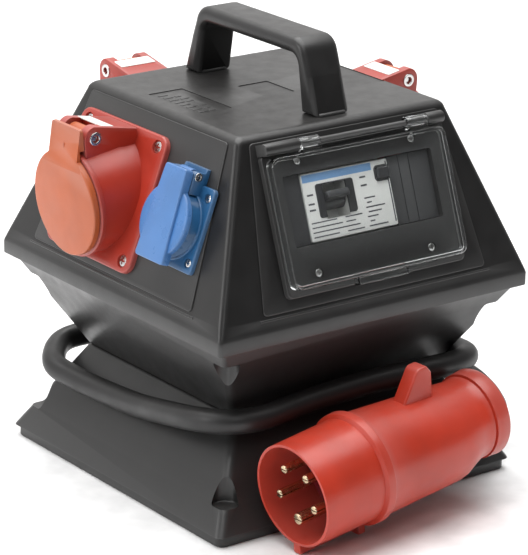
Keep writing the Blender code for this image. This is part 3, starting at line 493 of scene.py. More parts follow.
base = slab(rounded_square(BASE_HALF, BASE_HALF, 0.006), 0, BASE_TOP, edge=0.0008, under=0.0010)
piece("base_plate_slab", base, hood_black, "housing", ["base_plate"])
foot_outer = [
    (FOOT_BOTTOM, FOOT_HALF - 0.0010, 0.0050), (FOOT_BOTTOM + 0.0003, FOOT_HALF - 0.0004, 0.0056),
    (FOOT_BOTTOM + 0.0011, foot_half(FOOT_BOTTOM + 0.0011), 0.006),
    (WAIST_Z - 0.0010, foot_half(WAIST_Z - 0.001), 0.006),
    (WAIST_Z - 0.0003, WAIST_HALF - 0.0003, 0.0057), (WAIST_Z, WAIST_HALF - 0.0012, 0.005),
]
foot_inner = [(FOOT_BOTTOM, FOOT_HALF - 0.010, 0.006), (WAIST_Z - WALL, WAIST_HALF - 0.010, 0.006)]
foot = piece(
    "foot_pyramid", cup(foot_outer, foot_inner), hood_black, "housing", ["foot_skirt"],
)
worked(foot, corner_pockets(2 * WAIST_Z - 0.123, WAIST_Z - 0.010))

# Tray. The lower half of the box, a square funnel moulded in the same black, screwed to the foot at
# the waist. It has matching corner pockets, and a boss for the gland on its right side.
TRAY_BOTTOM, TRAY_TOP, TRAY_HALF = 0.0733, 0.1357, 0.1245


def tray_half(height):
    return WAIST_HALF + (TRAY_HALF - WAIST_HALF) * (height - TRAY_BOTTOM) / (TRAY_TOP - TRAY_BOTTOM)


tray_outer = [
    (TRAY_TOP, TRAY_HALF, 0.003), (TRAY_BOTTOM + 0.0010, tray_half(TRAY_BOTTOM + 0.001), 0.006),
    (TRAY_BOTTOM + 0.0003, WAIST_HALF - 0.0004, 0.0057), (TRAY_BOTTOM, WAIST_HALF - 0.0012, 0.005),
]
tray_inner = [(TRAY_TOP, TRAY_HALF - 0.010, 0.003), (TRAY_BOTTOM + WALL, WAIST_HALF - 0.008, 0.006)]
tray = piece(
    "tray_funnel", cup(tray_outer, tray_inner), hood_black, "housing", ["lower_tray"],
)
worked(tray, corner_pockets(WAIST_Z + 0.010, 0.123))
boss = [(0.0870, 0.0745), (0.1240, 0.0745, 0.003), (0.1240, 0.0990, 0.002), (0.0870, 0.0990)]
stand = Matrix(((1, 0, 0, 0), (0, 0, -1, 0), (0, 1, 0, 0), (0, 0, 0, 1)))
worked(tray, slab(eased(boss), -GLAND_AT.y - 0.030, -GLAND_AT.y, stand, edge=0.0008, under=0.0012), "UNION")

# Hood. The upper half, one moulding with a straight band round its foot and four sloping faces. Each
# face carries a raised panel, and the top has three shallow label fields with a row of marks.
BAND_BOTTOM, BAND_TOP, BAND_HALF = 0.136, 0.147, 0.130
TOP_HALF, TOP_Z, CORNER_R = 0.086, 0.264, 0.0045
SLOPE = math.atan2(BAND_HALF - TOP_HALF, TOP_Z - BAND_TOP)
PANEL_RISE = 0.0009
PANEL = [(-0.0935, 0.0095, 0.003), (0.0935, 0.0095, 0.003), (0.0785, 0.1205, 0.003), (-0.0785, 0.1205, 0.003)]
RIDGE_LOW, RIDGE_HIGH, RIDGE_HALF = 0.0060, 0.0076, 0.0965
SIDES = {"front": 0, "right": 1, "rear": 2, "left": 3}
LABEL_FIELDS = [
    (-0.0730, -0.0450, -0.0240, 0.0340), (-0.0100, 0.0150, -0.0140, 0.0180),
    (0.0500, 0.0830, -0.0270, 0.0230),
]
INDUSTRIAL = {"left": (-0.0265, 0.0615), "rear": (0.0260, 0.0685), "right": (0.0225, 0.0635)}
HOUSEHOLD = {"left": (0.0587, 0.0605), "rear": (-0.0580, 0.0605)}
DROOP = math.radians(4)


def face_place(side, across=0.0, up_slope=0.0):
    """Local X to the right seen from outside, Y up the slope, Z straight out of the sloping face."""
    turn = Matrix.Rotation(math.pi / 2 * SIDES[side], 4, "Z")
    lean = Matrix.Rotation(math.pi / 2 - SLOPE, 4, "X")
    return turn @ Matrix.Translation((0, -BAND_HALF, BAND_TOP)) @ lean @ Matrix.Translation((
        across, up_slope, 0,
    ))


def hood_half(height):
    return BAND_HALF + (TOP_HALF - BAND_HALF) * (height - BAND_TOP) / (TOP_Z - BAND_TOP)


hood_outer = [
    (BAND_BOTTOM, BAND_HALF - 0.0009, 0.0026), (BAND_BOTTOM + 0.0003, BAND_HALF - 0.0003, 0.0028),
    (BAND_BOTTOM + 0.0010, BAND_HALF, 0.003), (BAND_TOP - 0.0020, BAND_HALF, 0.003),
    (BAND_TOP - 0.0006, BAND_HALF - 0.0003, 0.0031),
    (BAND_TOP + 0.0012, hood_half(BAND_TOP + 0.0012) - 0.0004, 0.0034),
    (BAND_TOP + 0.008, hood_half(BAND_TOP + 0.008), CORNER_R),
]
for step in range(6):
    turn = (math.pi / 2 - SLOPE) * step / 5
    height = TOP_Z - 0.0050 + 0.0050 * math.sin(turn) / math.cos(SLOPE)
    half = hood_half(TOP_Z - 0.0050) - 0.0052 * (1 - math.cos(turn)) - 0.0003 * step
    hood_outer.append((min(height, TOP_Z), half, CORNER_R - 0.0003 * step))
hood_outer.append((TOP_Z, TOP_HALF - 0.0055, 0.0025))
hood_inner = [
    (BAND_BOTTOM, TRAY_HALF - 0.010, 0.006), (BAND_BOTTOM + WALL, TRAY_HALF - 0.010, 0.006),
    (BAND_BOTTOM + WALL + 0.001, BAND_HALF - 0.006, 0.008), (BAND_TOP, BAND_HALF - 0.006, 0.008),
    (TOP_Z - WALL, TOP_HALF - 0.0032, 0.008),
]
hood = piece(
    "hood_shell", cup(hood_outer, hood_inner), hood_black, "housing", ["upper_housing"],
)
for side in SIDES:
    worked(hood, slab(eased(PANEL), -0.002, PANEL_RISE, face_place(side), edge=0.0006), "UNION")
    ridge = block(
        (-RIDGE_HALF, RIDGE_LOW, -0.001), (RIDGE_HALF, RIDGE_HIGH, 0.0006), face_place(side), edge=0.0004,
    )
    worked(hood, ridge, "UNION")
    if side in INDUSTRIAL:
        droop = face_place(side, *INDUSTRIAL[side]) @ Matrix.Rotation(SLOPE + DROOP, 4, "X")
        worked(hood, turned([(0, -0.04), (0.0395, -0.04), (0.0395, 0.02), (0, 0.02)], 64, droop))
    if side in HOUSEHOLD:
        hole = turned(
            [(0, -0.03), (0.0240, -0.03), (0.0240, 0.02), (0, 0.02)], 64, face_place(side, *HOUSEHOLD[side]),
        )
        worked(hood, hole)
fields, marks = [], []
for x0, x1, y0, y1 in LABEL_FIELDS:
    rim = [(x0, y0, 0.0015), (x1, y0, 0.0015), (x1, y1, 0.0015), (x0, y1, 0.0015)]
    fields.append(slab(eased(rim), TOP_Z - 0.0004, TOP_Z + 0.001))
worked(hood, fields)
for row in range(8):
    low = -0.0205 + 0.0066 * row
    for start, end in ((0.002, 0.009), (0.011, 0.0155 + 0.001 * (row % 3)))[: 2 - row % 4 // 3]:
        mark = block(
            (-0.0715 + start, low, TOP_Z - 0.0010), (-0.0715 + end, low + 0.0020, TOP_Z - 0.0001),
            edge=0.0002,
        )
        marks.append(mark)
worked(hood, marks, "UNION")

# Handle. A solid arch across the top, moulded with heavily rounded edges, its two legs spreading a
# little where they stand on the hood.
HANDLE_HALF_X, HANDLE_TOP, GRIP_UNDER, HANDLE_EDGE = 0.0155, 0.3135, 0.3020, 0.0048
half_arch = [(0.0745, TOP_Z + GAP), (0.0664, 0.2900, 0.030), (0.0580, HANDLE_TOP, 0.0130)]
half_gap = [(0.0527, GRIP_UNDER, 0.0085), (0.0590, TOP_Z + GAP)]
arch = half_arch + [(-point[0], *point[1:]) for point in half_arch[::-1]]
arch += [(-point[0], *point[1:]) for point in half_gap[::-1]] + half_gap
across_top = Matrix.Rotation(math.pi / 2, 4, "Z") @ Matrix.Rotation(math.pi / 2, 4, "X")
bow = slab(eased(arch, 8), -HANDLE_HALF_X, HANDLE_HALF_X, across_top, HANDLE_EDGE, HANDLE_EDGE, 6)
handle = piece("carrying_handle", bow, hood_black, "housing", ["handle"])
for side_y in (-1, 1):
    low, high = sorted((side_y * 0.0578, side_y * 0.0760))
    pad = block((-0.0120, low, TOP_Z + GAP), (0.0120, high, TOP_Z + 0.0022), edge=0.0015, round_by=0.004)
    worked(handle, pad, "UNION")

# Industrial sockets. A nylon body with a square flange, a short tube with a collar and a hinge block that
# carries a
# white label, in crimson: the lid's orange-red plastic darkened as painted shade; an orange-red sprung lid;
# and a carrier with five brass contacts.
FLANGE_X, FLANGE_Y, FLANGE_T = 0.101, 0.095, 0.005
TUBE_R, MOUTH_R, WELL_R, MOUTH, BACK, BARREL_R = 0.0390, 0.0371, 0.0350, 0.0325, -0.030, 0.0385
COLLAR, CORE_R, CORE_TOP, CONTACT_CIRCLE = 0.0011, 0.0300, 0.0210, 0.0155
BLOCK_HALF, PIN_OUT, PIN_UP, PIN_R = 0.017, 0.0203, 0.0450, 0.0020
BLOCK_ROUND = 0.0086
LID_R, LID_HEAD, LID_FRONT, NECK_HALF, NECK_NEAR = 0.0362, 0.0085, 0.0172, 0.0168, 0.0092
SCREW_X, SCREW_Y = 0.0405, 0.0395
KNUCKLE_R, KNUCKLE_HALF = 0.0060, 0.0090
# The socket body's crimson is painted shade: the same plastic as the lid, darkened.
SHADED_SOCKET_RED, LID_ORANGE = (0.36, 0.028, 0.014), (0.44, 0.085, 0.015)
STEEL, LABEL_WHITE = (0.62, 0.61, 0.60), (0.72, 0.72, 0.70)
AXIS_X = Matrix.Rotation(math.pi / 2, 4, "Y")

shaded_socket_red = moulded("shaded_socket_red", SHADED_SOCKET_RED, 0.34, relief=0.00003, worn=0.4, dust=0.04)
lid_orange = moulded("lid_orange", LID_ORANGE, 0.36, relief=0.00004, worn=0.3, dust=0.05)
bright_steel = moulded("bright_steel", STEEL, 0.22, grain=0.0004, relief=0.00002, worn=0.2, metal=1.0)
label_white = moulded("label_white", LABEL_WHITE, 0.48, grain=0.0008, relief=0.00002, worn=0.0)
seal_rubber = moulded("seal_rubber", (0.02, 0.02, 0.02), 0.62, worn=0.0)
screw_shapes, screw_slots = [], []


def screw(place, radius):
    """A pan-head screw with a cross recess, its shank hidden in the hole."""
    head = eased([(0, -0.002), (radius, -0.002), (radius, 0.0006, 0.0006), (0, 0.0011)])
    screw_shapes.append(turned(head, 32, place))
    arm, reach = radius * 0.15, radius * 0.62
    cross = [(arm, arm), (arm, reach), (-arm, reach), (-arm, arm), (-reach, arm), (-reach, -arm)]
    cross += [(-x, -y) for x, y in cross]
    screw_slots.append(slab(cross, -0.0006, 0.01, place))


def rod(radius, half, place, ease=0.0004):
    return turned(eased([(0, -half), (radius, -half, ease), (radius, half, ease), (0, half)]), 32, place)


def industrial_socket(side, across, up_slope):
    place = face_place(side, across, up_slope)
    droop = place @ Matrix.Rotation(SLOPE + DROOP, 4, "X")
    at_pin = droop @ Matrix.Translation((0, PIN_UP, PIN_OUT)) @ AXIS_X
    at_lid = droop @ Matrix.Translation((0, PIN_UP, PIN_OUT))

    flange = slab(
        rounded_square(FLANGE_X / 2, FLANGE_Y / 2, 0.009), PANEL_RISE + 0.0001, FLANGE_T, place, edge=0.0014,
    )
    body = piece(
        f"{side}_industrial_body", flange, shaded_socket_red, "housing", [f"{side}_cee_body"],
    )
    tube = eased([
        (0, BACK), (BARREL_R, BACK, 0.0010), (BARREL_R, -0.002), (TUBE_R, 0.002), (MOUTH_R, MOUTH - 0.0036),
        (MOUTH_R + COLLAR, MOUTH - 0.0030, 0.0006), (MOUTH_R + COLLAR, MOUTH, 0.0008), (0, MOUTH),
    ])
    worked(body, turned(tube, 96, droop), "UNION")
    hinge_block = [(-0.013, 0.0295), (PIN_OUT + BLOCK_ROUND, 0.0310)]
    for step in range(9):
        turn = math.pi / 2 * step / 8
        hinge_block.append((PIN_OUT + BLOCK_ROUND * math.cos(turn), PIN_UP + BLOCK_ROUND * math.sin(turn)))
    hinge_block += [(-0.013, 0.0450)]
    worked(
        body, slab(hinge_block, -BLOCK_HALF, BLOCK_HALF, droop @ SIDE_ON, edge=0.0007, under=0.0007), "UNION",
    )
    slot_low = (-KNUCKLE_HALF - 0.001, PIN_UP - 0.0085, PIN_OUT - 0.0080)
    slot_high = (KNUCKLE_HALF + 0.001, PIN_UP + 0.020, PIN_OUT + 0.020)
    worked(body, block(slot_low, slot_high, droop))
    well = eased([
        (0, BACK + 0.004), (WELL_R, BACK + 0.004), (WELL_R, MOUTH - 0.0006), (WELL_R + 0.0010, 0.05),
        (0, 0.05),
    ])
    worked(body, turned(well, 96, droop))
    worked(body, rod(PIN_R + 0.00035, 0.03, at_pin))
    holes = []
    for x in (-SCREW_X, SCREW_X):
        for y in (-SCREW_Y, SCREW_Y):
            spot = place @ Matrix.Translation((x, y, FLANGE_T - 0.0016))
            holes.append(turned([(0, 0), (0.0046, 0), (0.0050, 0.004), (0, 0.004)], 32, spot))
            screw(spot, 0.0040)
    worked(body, holes)

    slant = math.atan2(BLOCK_ROUND, PIN_OUT + 0.013)
    mid_out, mid_up = PIN_OUT - 0.0115, PIN_UP + BLOCK_ROUND - 0.0115 * math.tan(slant)
    on_block = droop @ Matrix(((1, 0, 0, 0), (0, -math.sin(slant), math.cos(slant), mid_up),
                               (0, -math.cos(slant), -math.sin(slant), mid_out), (0, 0, 0, 1)))
    strip = slab(rounded_square(BLOCK_HALF - 0.0026, 0.0052, 0.001), -0.0004, 0.0004, on_block, edge=0.0002)
    piece(f"{side}_label_strip", strip, label_white, "housing")

    pin = [rod(PIN_R, BLOCK_HALF - 0.0010, at_pin)]
    for end in (-1, 1):
        ring = eased([(0.0024, 0.0167), (0.0047, 0.0167), (0.0047, 0.0177, 0.0005), (0.0024, 0.0177, 0.0004)])
        pin.append(turned([(r, end * z) for r, z in ring], 32, at_pin))
    piece(f"{side}_industrial_pin", pin, bright_steel, "housing", [f"{side}_cee_hinge_pin"])

    low = BACK + 0.004 + GAP
    core = eased([(0, low), (CORE_R, low), (CORE_R, CORE_TOP, 0.0012), (0, CORE_TOP)])
    insert = piece(
        f"{side}_industrial_insert", turned(core, 72, droop), carrier_red, "housing",
        [f"{side}_cee_insert"],
    )
    bores, sleeves = [], []
    for pole in range(5):
        turn = math.radians(-90 + 72 * pole)
        radius = 0.0042 if pole == 0 else 0.0034
        spot = droop @ Matrix.Translation((
            CONTACT_CIRCLE * math.cos(turn), CONTACT_CIRCLE * math.sin(turn), 0,
        ))
        bores.append(turned(
            [(0, -0.012), (radius, -0.012), (radius, 0.0205), (radius + 0.001, 0.03), (0, 0.03)], 32, spot,
        ))
        sleeve = [
            (radius - 0.0008, -0.011), (radius - 0.0002, -0.011), (radius - 0.0002, 0.0170),
            (radius - 0.0008, 0.0170),
        ]
        sleeves.append(turned(eased(sleeve), 32, spot))
    worked(insert, bores)
    piece(f"{side}_industrial_contacts", sleeves, brass, "housing")

    near = MOUTH - PIN_OUT + 0.0005
    lid_body = f"{side}_cee_lid"
    shoulder = math.sqrt(LID_R ** 2 - NECK_HALF ** 2) - PIN_UP
    touch = math.atan2(shoulder + PIN_UP, NECK_HALF)
    outline = eased([(NECK_HALF, LID_HEAD, 0.0022), (-NECK_HALF, LID_HEAD, 0.0022), (-NECK_HALF,
    shoulder + 0.002),
                     (NECK_HALF, shoulder + 0.002)])[:-1]
    for step in range(73):
        turn = math.pi - touch + (math.pi + 2 * touch) * step / 72
        outline.append((LID_R * math.cos(turn), LID_R * math.sin(turn) - PIN_UP))
    disc = slab(outline, near, LID_FRONT, at_lid, edge=0.0011, under=0.0004, steps=4)
    lid = piece(f"{side}_industrial_lid", disc, lid_orange, lid_body, [lid_body])
    neck = [
        (-NECK_HALF, -0.0060), (NECK_HALF, -0.0060), (NECK_HALF, LID_HEAD, 0.0022),
        (-NECK_HALF, LID_HEAD, 0.0022),
    ]
    worked(lid, slab(eased(neck), NECK_NEAR, near + 0.0008, at_lid, under=0.0004), "UNION")
    top_z = NECK_NEAR + 0.0026
    wedge = [
        (top_z, 0.0120), (top_z, LID_HEAD - 0.001), (LID_FRONT, -0.0190), (LID_FRONT + 0.006, -0.0190),
        (LID_FRONT + 0.006, 0.0120),
    ]
    worked(lid, slab(wedge, -0.05, 0.05, at_lid @ SIDE_ON))
    worked(
        lid, block((-KNUCKLE_HALF, -0.0030, 0), (KNUCKLE_HALF, 0.0030, NECK_NEAR + 0.001), at_lid), "UNION",
    )
    worked(lid, rod(KNUCKLE_R, KNUCKLE_HALF, at_pin, 0.0008), "UNION")
    worked(lid, rod(PIN_R + 0.00035, 0.03, at_pin))
    arrow = block((-0.0005, -0.0085, LID_FRONT - 0.004), (0.0005, -0.0035, top_z + 0.0030), at_lid)
    worked(lid, arrow, "UNION")
    seal = eased([
        (0.0300, near - 0.0003, 0.0003), (0.0345, near - 0.0003, 0.0003), (0.0345, near + 0.0010),
        (0.0300, near + 0.0010),
    ])
    on_disc = at_lid @ Matrix.Translation((0, -PIN_UP, 0))
    piece(f"{side}_lid_seal", turned(seal, 72, on_disc), seal_rubber, lid_body)


for side, spot in INDUSTRIAL.items():
    industrial_socket(side, *spot)

# Household sockets. A flange with a short tube and hinge block, in the lid's blue darkened to teal as painted
# shade, a well with two contact holes and earth springs, and a lid made of a round plate with a long strap
# across it for the thumb.
H_FLANGE_X, H_FLANGE_Y, H_FLANGE_T = 0.053, 0.0575, 0.004
H_TUBE_R, H_WELL_R, H_MOUTH, H_BACK, H_FLOOR = 0.0235, 0.0200, 0.0130, -0.022, -0.008
H_LID_R, H_LID_T, STRAP_TOP, STRAP_FOOT, STRAP_T = 0.0245, 0.0045, 0.0115, 0.0155, 0.0020
H_BLOCK_HALF, H_PIN_OUT, H_PIN_UP, H_PIN_R = 0.0125, 0.0095, 0.0330, 0.0015
H_KNUCKLE_R, H_KNUCKLE_HALF = 0.0042, 0.0065
# The socket body's dark teal is painted shade: the same blue plastic as the lid, darkened.
SHADED_SOCKET_BLUE, LID_BLUE = (0.018, 0.095, 0.225), (0.060, 0.175, 0.420)

shaded_socket_blue = moulded("shaded_socket_blue", SHADED_SOCKET_BLUE, 0.33, relief=0.00003, worn=0.4, dust=0.04)
lid_blue = moulded("lid_blue", LID_BLUE, 0.30, relief=0.00003, worn=0.3, dust=0.04)


def household_socket(side, across, up_slope):
    place = face_place(side, across, up_slope)
    at_lid = place @ Matrix.Translation((0, H_PIN_UP, H_PIN_OUT))
    at_pin = at_lid @ AXIS_X
    flange = slab(
        rounded_square(H_FLANGE_X / 2, H_FLANGE_Y / 2, 0.003), PANEL_RISE + 0.0001, H_FLANGE_T, place,
        edge=0.0010,
    )
    body = piece(
        f"{side}_household_body", flange, shaded_socket_blue, "housing", [f"{side}_schuko_body"],
    )
    tube = eased([
        (0, H_BACK), (H_TUBE_R - 0.0005, H_BACK), (H_TUBE_R - 0.0005, H_MOUTH, 0.0012), (0, H_MOUTH),
    ])
    worked(body, turned(tube, 72, place), "UNION")
    step_ring = eased([
        (0, 0.001), (H_TUBE_R + 0.0012, 0.001), (H_TUBE_R + 0.0012, 0.0062, 0.0008), (0, 0.0062),
    ])
    worked(body, turned(step_ring, 72, place), "UNION")
    hinge_block = [(0.0010, 0.021), (H_MOUTH, 0.021), (H_MOUTH, H_PIN_UP)]
    for turn in (15, 30, 45, 60):
        turn = math.radians(turn)
        hinge_block.append((H_PIN_OUT + 0.0035 * math.cos(turn), H_PIN_UP + 0.0035 * math.sin(turn)))
    hinge_block += [(H_PIN_OUT, H_PIN_UP + 0.0032), (H_PIN_OUT - 0.0050, H_PIN_UP + 0.0032)]
    hinge_block += [(H_PIN_OUT - 0.0058, H_PIN_UP + 0.0062), (0.0010, H_PIN_UP + 0.0065)]
    worked(
        body, slab(hinge_block, -H_BLOCK_HALF, H_BLOCK_HALF, place @ SIDE_ON, edge=0.0005, under=0.0005),
        "UNION",
    )
    slot_low = (-H_KNUCKLE_HALF - 0.001, H_PIN_UP - 0.0055, H_PIN_OUT - 0.0055)
    slot_high = (H_KNUCKLE_HALF + 0.001, H_PIN_UP + 0.020, H_PIN_OUT + 0.020)
    worked(body, block(slot_low, slot_high, place))
    well = [
        (0, H_BACK + 0.003), (H_WELL_R, H_BACK + 0.003), (H_WELL_R, H_MOUTH - 0.001),
        (H_WELL_R + 0.001, H_MOUTH + 0.001),
    ]
    worked(body, turned(well + [(0, H_MOUTH + 0.001)], 72, place))
    worked(body, rod(H_PIN_R + 0.00035, 0.03, at_pin))
    holes = []
    for x in (-0.0208, 0.0208):
        for y in (-0.0218, 0.0218):
            spot = place @ Matrix.Translation((x, y, H_FLANGE_T - 0.0012))
            holes.append(turned([(0, 0), (0.0033, 0), (0.0036, 0.003), (0, 0.003)], 24, spot))
            screw(spot, 0.0028)
    worked(body, holes)
    pin = [rod(H_PIN_R, H_BLOCK_HALF - 0.0010, at_pin)]
    for end in (-1, 1):
        ring = eased([(0.0017, 0.0123), (0.0030, 0.0123), (0.0030, 0.0130, 0.0003), (0.0017, 0.0130, 0.0002)])
        pin.append(turned([(r, end * z) for r, z in ring], 24, at_pin))
    piece(f"{side}_household_pin", pin, bright_steel, "housing", [f"{side}_schuko_hinge_pin"])

    low = H_BACK + 0.003 + GAP
    core = eased([(0, low), (H_WELL_R - 0.0006, low), (H_WELL_R - 0.0006, H_FLOOR, 0.0008), (0, H_FLOOR)])
    insert = piece(
        f"{side}_household_insert", turned(core, 64, place), shaded_socket_blue, "housing",
        [f"{side}_schuko_insert"],
    )
    bores, clips = [], []
    for x in (-0.0095, 0.0095):
        spot = place @ Matrix.Translation((x, 0, 0))
        bores.append(turned(
            [(0, low + 0.002), (0.0028, low + 0.002), (0.0028, H_FLOOR - 0.0006), (0.0034, 0.01), (0, 0.01)],
            24, spot,
        ))
    worked(insert, bores)
    for end in (-1, 1):
        y0, y1 = sorted((end * (H_WELL_R - 0.0022), end * (H_WELL_R - 0.0009)))
        clips.append(block(
            (-0.0020, y0, H_FLOOR - 0.002), (0.0020, y1, H_FLOOR + 0.0080), place, edge=0.0004,
        ))
    piece(f"{side}_earth_springs", clips, bright_steel, "housing")

    near = H_MOUTH - H_PIN_OUT + 0.0006
    far = near + H_LID_T
    slotname = f"{side}_schuko_lid"
    plate = eased([
        (0, near), (H_LID_R, near, 0.0004), (H_LID_R, far - 0.0006, 0.0012), (H_LID_R - 0.0040, far),
        (0, far),
    ])
    disc = turned(plate, 80, at_lid @ Matrix.Translation((0, -H_PIN_UP, 0)))
    lid = piece(f"{side}_household_lid", disc, lid_blue, slotname, [slotname])
    low = -H_PIN_UP - H_FLANGE_Y / 2 + 0.001
    strap = [
        (-STRAP_FOOT, low, 0.0025), (STRAP_FOOT, low, 0.0025), (STRAP_TOP, 0.0030, 0.002),
        (-STRAP_TOP, 0.0030, 0.002),
    ]
    worked(lid, slab(eased(strap), near, far + STRAP_T, at_lid, edge=0.0010, under=0.0004), "UNION")
    tongue = block((-H_KNUCKLE_HALF, -0.0025, 0), (H_KNUCKLE_HALF, 0.0025, near + 0.001), at_lid)
    worked(lid, tongue, "UNION")
    worked(lid, rod(H_KNUCKLE_R, H_KNUCKLE_HALF, at_pin, 0.0006), "UNION")
    worked(lid, rod(H_PIN_R + 0.00035, 0.03, at_pin))


for side, spot in HOUSEHOLD.items():
    household_socket(side, *spot)

# Breaker window. A black frame screwed to the front face, with ears that hold a steel hinge pin, and a
# clear polycarbonate cover that swings up on it, with its latch and its two knuckles as pieces of their own.
WINDOW_HALF_X, WINDOW_LOW, WINDOW_HIGH, FRAME_T = 0.0745, 0.0170, 0.1120, 0.0050
APERTURE_HALF_X, APERTURE_LOW, APERTURE_HIGH, HOLE_MARGIN = 0.0620, 0.0485, 0.0955, 0.006
COVER_HALF_X, COVER_LOW, COVER_HIGH = 0.0725, 0.0215, 0.1085
COVER_OUT, COVER_WALL, COVER_CORNER = 0.0130, 0.0022, 0.0060
HINGE_UP, HINGE_OUT, HINGE_R, HINGE_PIN_R = 0.1145, 0.0085, 0.0042, 0.0016
KNUCKLES = [(-0.046, -0.030), (0.043, 0.060)]
FRAME_SCREW_X, FRAME_SCREW_UP = 0.0475, (0.0300, 0.1040)
LATCH_HALF, LATCH_LOW, GUSSET_REACH, SEAM = 0.021, 0.0165, 0.047, COVER_LOW - 0.0002

front = face_place("front")
hole_low = (-APERTURE_HALF_X - HOLE_MARGIN, APERTURE_LOW - HOLE_MARGIN, -0.03)
hole_high = (APERTURE_HALF_X + HOLE_MARGIN, APERTURE_HIGH + HOLE_MARGIN, 0.03)
worked(hood, block(hole_low, hole_high, front))

plate = block(
    (-WINDOW_HALF_X, WINDOW_LOW, PANEL_RISE + 0.0001), (WINDOW_HALF_X, WINDOW_HIGH, FRAME_T), front,
    edge=0.0008,
    round_by=0.004,
)
window_frame = piece("window_frame_plate", plate, hood_black, "housing", ["window_frame"])
opening = [(-APERTURE_HALF_X, APERTURE_LOW, 0.002), (APERTURE_HALF_X, APERTURE_LOW, 0.002)]
opening += [(APERTURE_HALF_X, APERTURE_HIGH, 0.002), (-APERTURE_HALF_X, APERTURE_HIGH, 0.002)]
worked(window_frame, slab(eased(opening), -0.01, 0.02, front))
at_hinge = front @ Matrix.Translation((0, HINGE_UP, HINGE_OUT))
for low, high in ((-WINDOW_HALF_X, KNUCKLES[0][0] - 2 * GAP), (KNUCKLES[1][1] + 2 * GAP, WINDOW_HALF_X)):
    foot_of_ear = block(
        (low, WINDOW_HIGH - 0.001, PANEL_RISE + 0.0001), (high, HINGE_UP + 0.0042, HINGE_OUT), front,
    )
    worked(window_frame, foot_of_ear, "UNION")
    ear = turned(
        eased([(0, low), (HINGE_R, low, 0.0006), (HINGE_R, high, 0.0006), (0, high)]), 32, at_hinge @ AXIS_X,
    )
    worked(window_frame, ear, "UNION")
worked(window_frame, rod(HINGE_PIN_R + 0.00035, WINDOW_HALF_X - 0.002, at_hinge @ AXIS_X))
holes = []
for x in (-FRAME_SCREW_X, FRAME_SCREW_X):
    for y in FRAME_SCREW_UP:
        spot = front @ Matrix.Translation((x, y, FRAME_T - 0.0008))
        holes.append(turned([(0, -0.001), (0.0031, -0.001), (0.0034, 0.003), (0, 0.003)], 24, spot))
        screw(spot, 0.0027)
worked(window_frame, holes)
pin = rod(HINGE_PIN_R, WINDOW_HALF_X - 0.0025, at_hinge @ AXIS_X)
piece("window_pin", pin, bright_steel, "housing", ["window_hinge_pin"])

clear_plastic = bpy.data.materials.new("clear_polycarbonate")
clear_plastic.use_nodes = True
clear = clear_plastic.node_tree.nodes["Principled BSDF"]
clear.inputs["Base Color"].default_value = (0.93, 0.95, 0.95, 1)
clear.inputs["Transmission Weight"].default_value = 1.0
clear.inputs["IOR"].default_value = 1.49
haze = ranged(clear_plastic, mottled(clear_plastic, 0.010), 0.015, 0.050)
clear_plastic.node_tree.links.new(haze, clear.inputs["Roughness"])
ripple = wired(
    clear_plastic, "ShaderNodeBump", Height=mottled(clear_plastic, 0.030, 1.0), Distance=0.0001, Strength=0.6,
)
clear_plastic.node_tree.links.new(ripple.outputs[0], clear.inputs["Normal"])

cover_mid, cover_half_y = (COVER_LOW + COVER_HIGH) / 2, (COVER_HIGH - COVER_LOW) / 2
on_cover = front @ Matrix.Translation((0, cover_mid, 0))
outside = rounded_square(COVER_HALF_X, cover_half_y, COVER_CORNER)
inside = rounded_square(COVER_HALF_X - COVER_WALL, cover_half_y - COVER_WALL, COVER_CORNER - COVER_WALL)
shell = slab(outside, FRAME_T + 2 * GAP, COVER_OUT, on_cover, edge=0.0016, steps=4)
cover = piece("window_clear_cover", shell, clear_plastic, "window_cover", ["window_cover"])
worked(cover, slab(inside, 0, COVER_OUT - COVER_WALL, on_cover, edge=0.0010))
latch_shapes = [block(
    (-LATCH_HALF, LATCH_LOW, FRAME_T + 2 * GAP), (LATCH_HALF, SEAM, COVER_OUT - 0.001), front, 0.0007, 0.0012,
)]
for side_x in (-1, 1):
    gusset = [(side_x * (LATCH_HALF + 0.0001), LATCH_LOW + 0.0012), (side_x * GUSSET_REACH, SEAM - 0.0004)]
    gusset += [(side_x * GUSSET_REACH, SEAM), (side_x * (LATCH_HALF + 0.0001), SEAM)]
    latch_shapes.append(slab(gusset, FRAME_T + 3 * GAP, COVER_OUT - 0.0030, front))
latch = piece("window_latch", latch_shapes, clear_plastic, "window_cover")
webs, barrels = [], []
for low, high in KNUCKLES:
    web_low = (low + 0.0005, COVER_HIGH + 0.0002, HINGE_OUT - 0.001)
    webs.append(block(web_low, (high - 0.0005, HINGE_UP, HINGE_OUT + 0.0035), front))
    barrel = [(0, low), (HINGE_R - 0.0002, low, 0.0005), (HINGE_R - 0.0002, high, 0.0005), (0, high)]
    barrels.append(turned(eased(barrel), 32, at_hinge @ AXIS_X))
knuckles = piece("window_knuckles", webs, clear_plastic, "window_cover")
worked(knuckles, barrels, "UNION")
worked(knuckles, rod(HINGE_PIN_R + 0.00035, WINDOW_HALF_X + 0.01, at_hinge @ AXIS_X))
for clear_piece in (cover, latch, knuckles):
    clear_piece.visible_shadow = False

# Breaker. A four-pole earth-leakage breaker in off-white thermoset on a steel rail, with a blue strip,
# printed lines, a black toggle on a dark patch of painted shadow and reflection, a test button, and dark
# blanking strips beside it.
RCD_LEFT, RCD_RIGHT, RCD_LOW, RCD_HIGH = -0.0460, 0.0260, 0.0495, 0.0945
RCD_FACE, RCD_SHOULDER, RCD_BACK = 0.0020, -0.0080, -0.0520
TOGGLE_LEFT, TOGGLE_RIGHT, TOGGLE_UP, TOGGLE_R = -0.0300, -0.0120, 0.0740, 0.0060
BUTTON_X, BUTTON_UP, BUTTON_HALF_X, BUTTON_HALF_Y = 0.0200, 0.0855, 0.0050, 0.0040
DEVICE_GREY, PRINT_INK, STRIP_BLUE = (0.66, 0.66, 0.64), (0.06, 0.06, 0.07), (0.16, 0.30, 0.52)

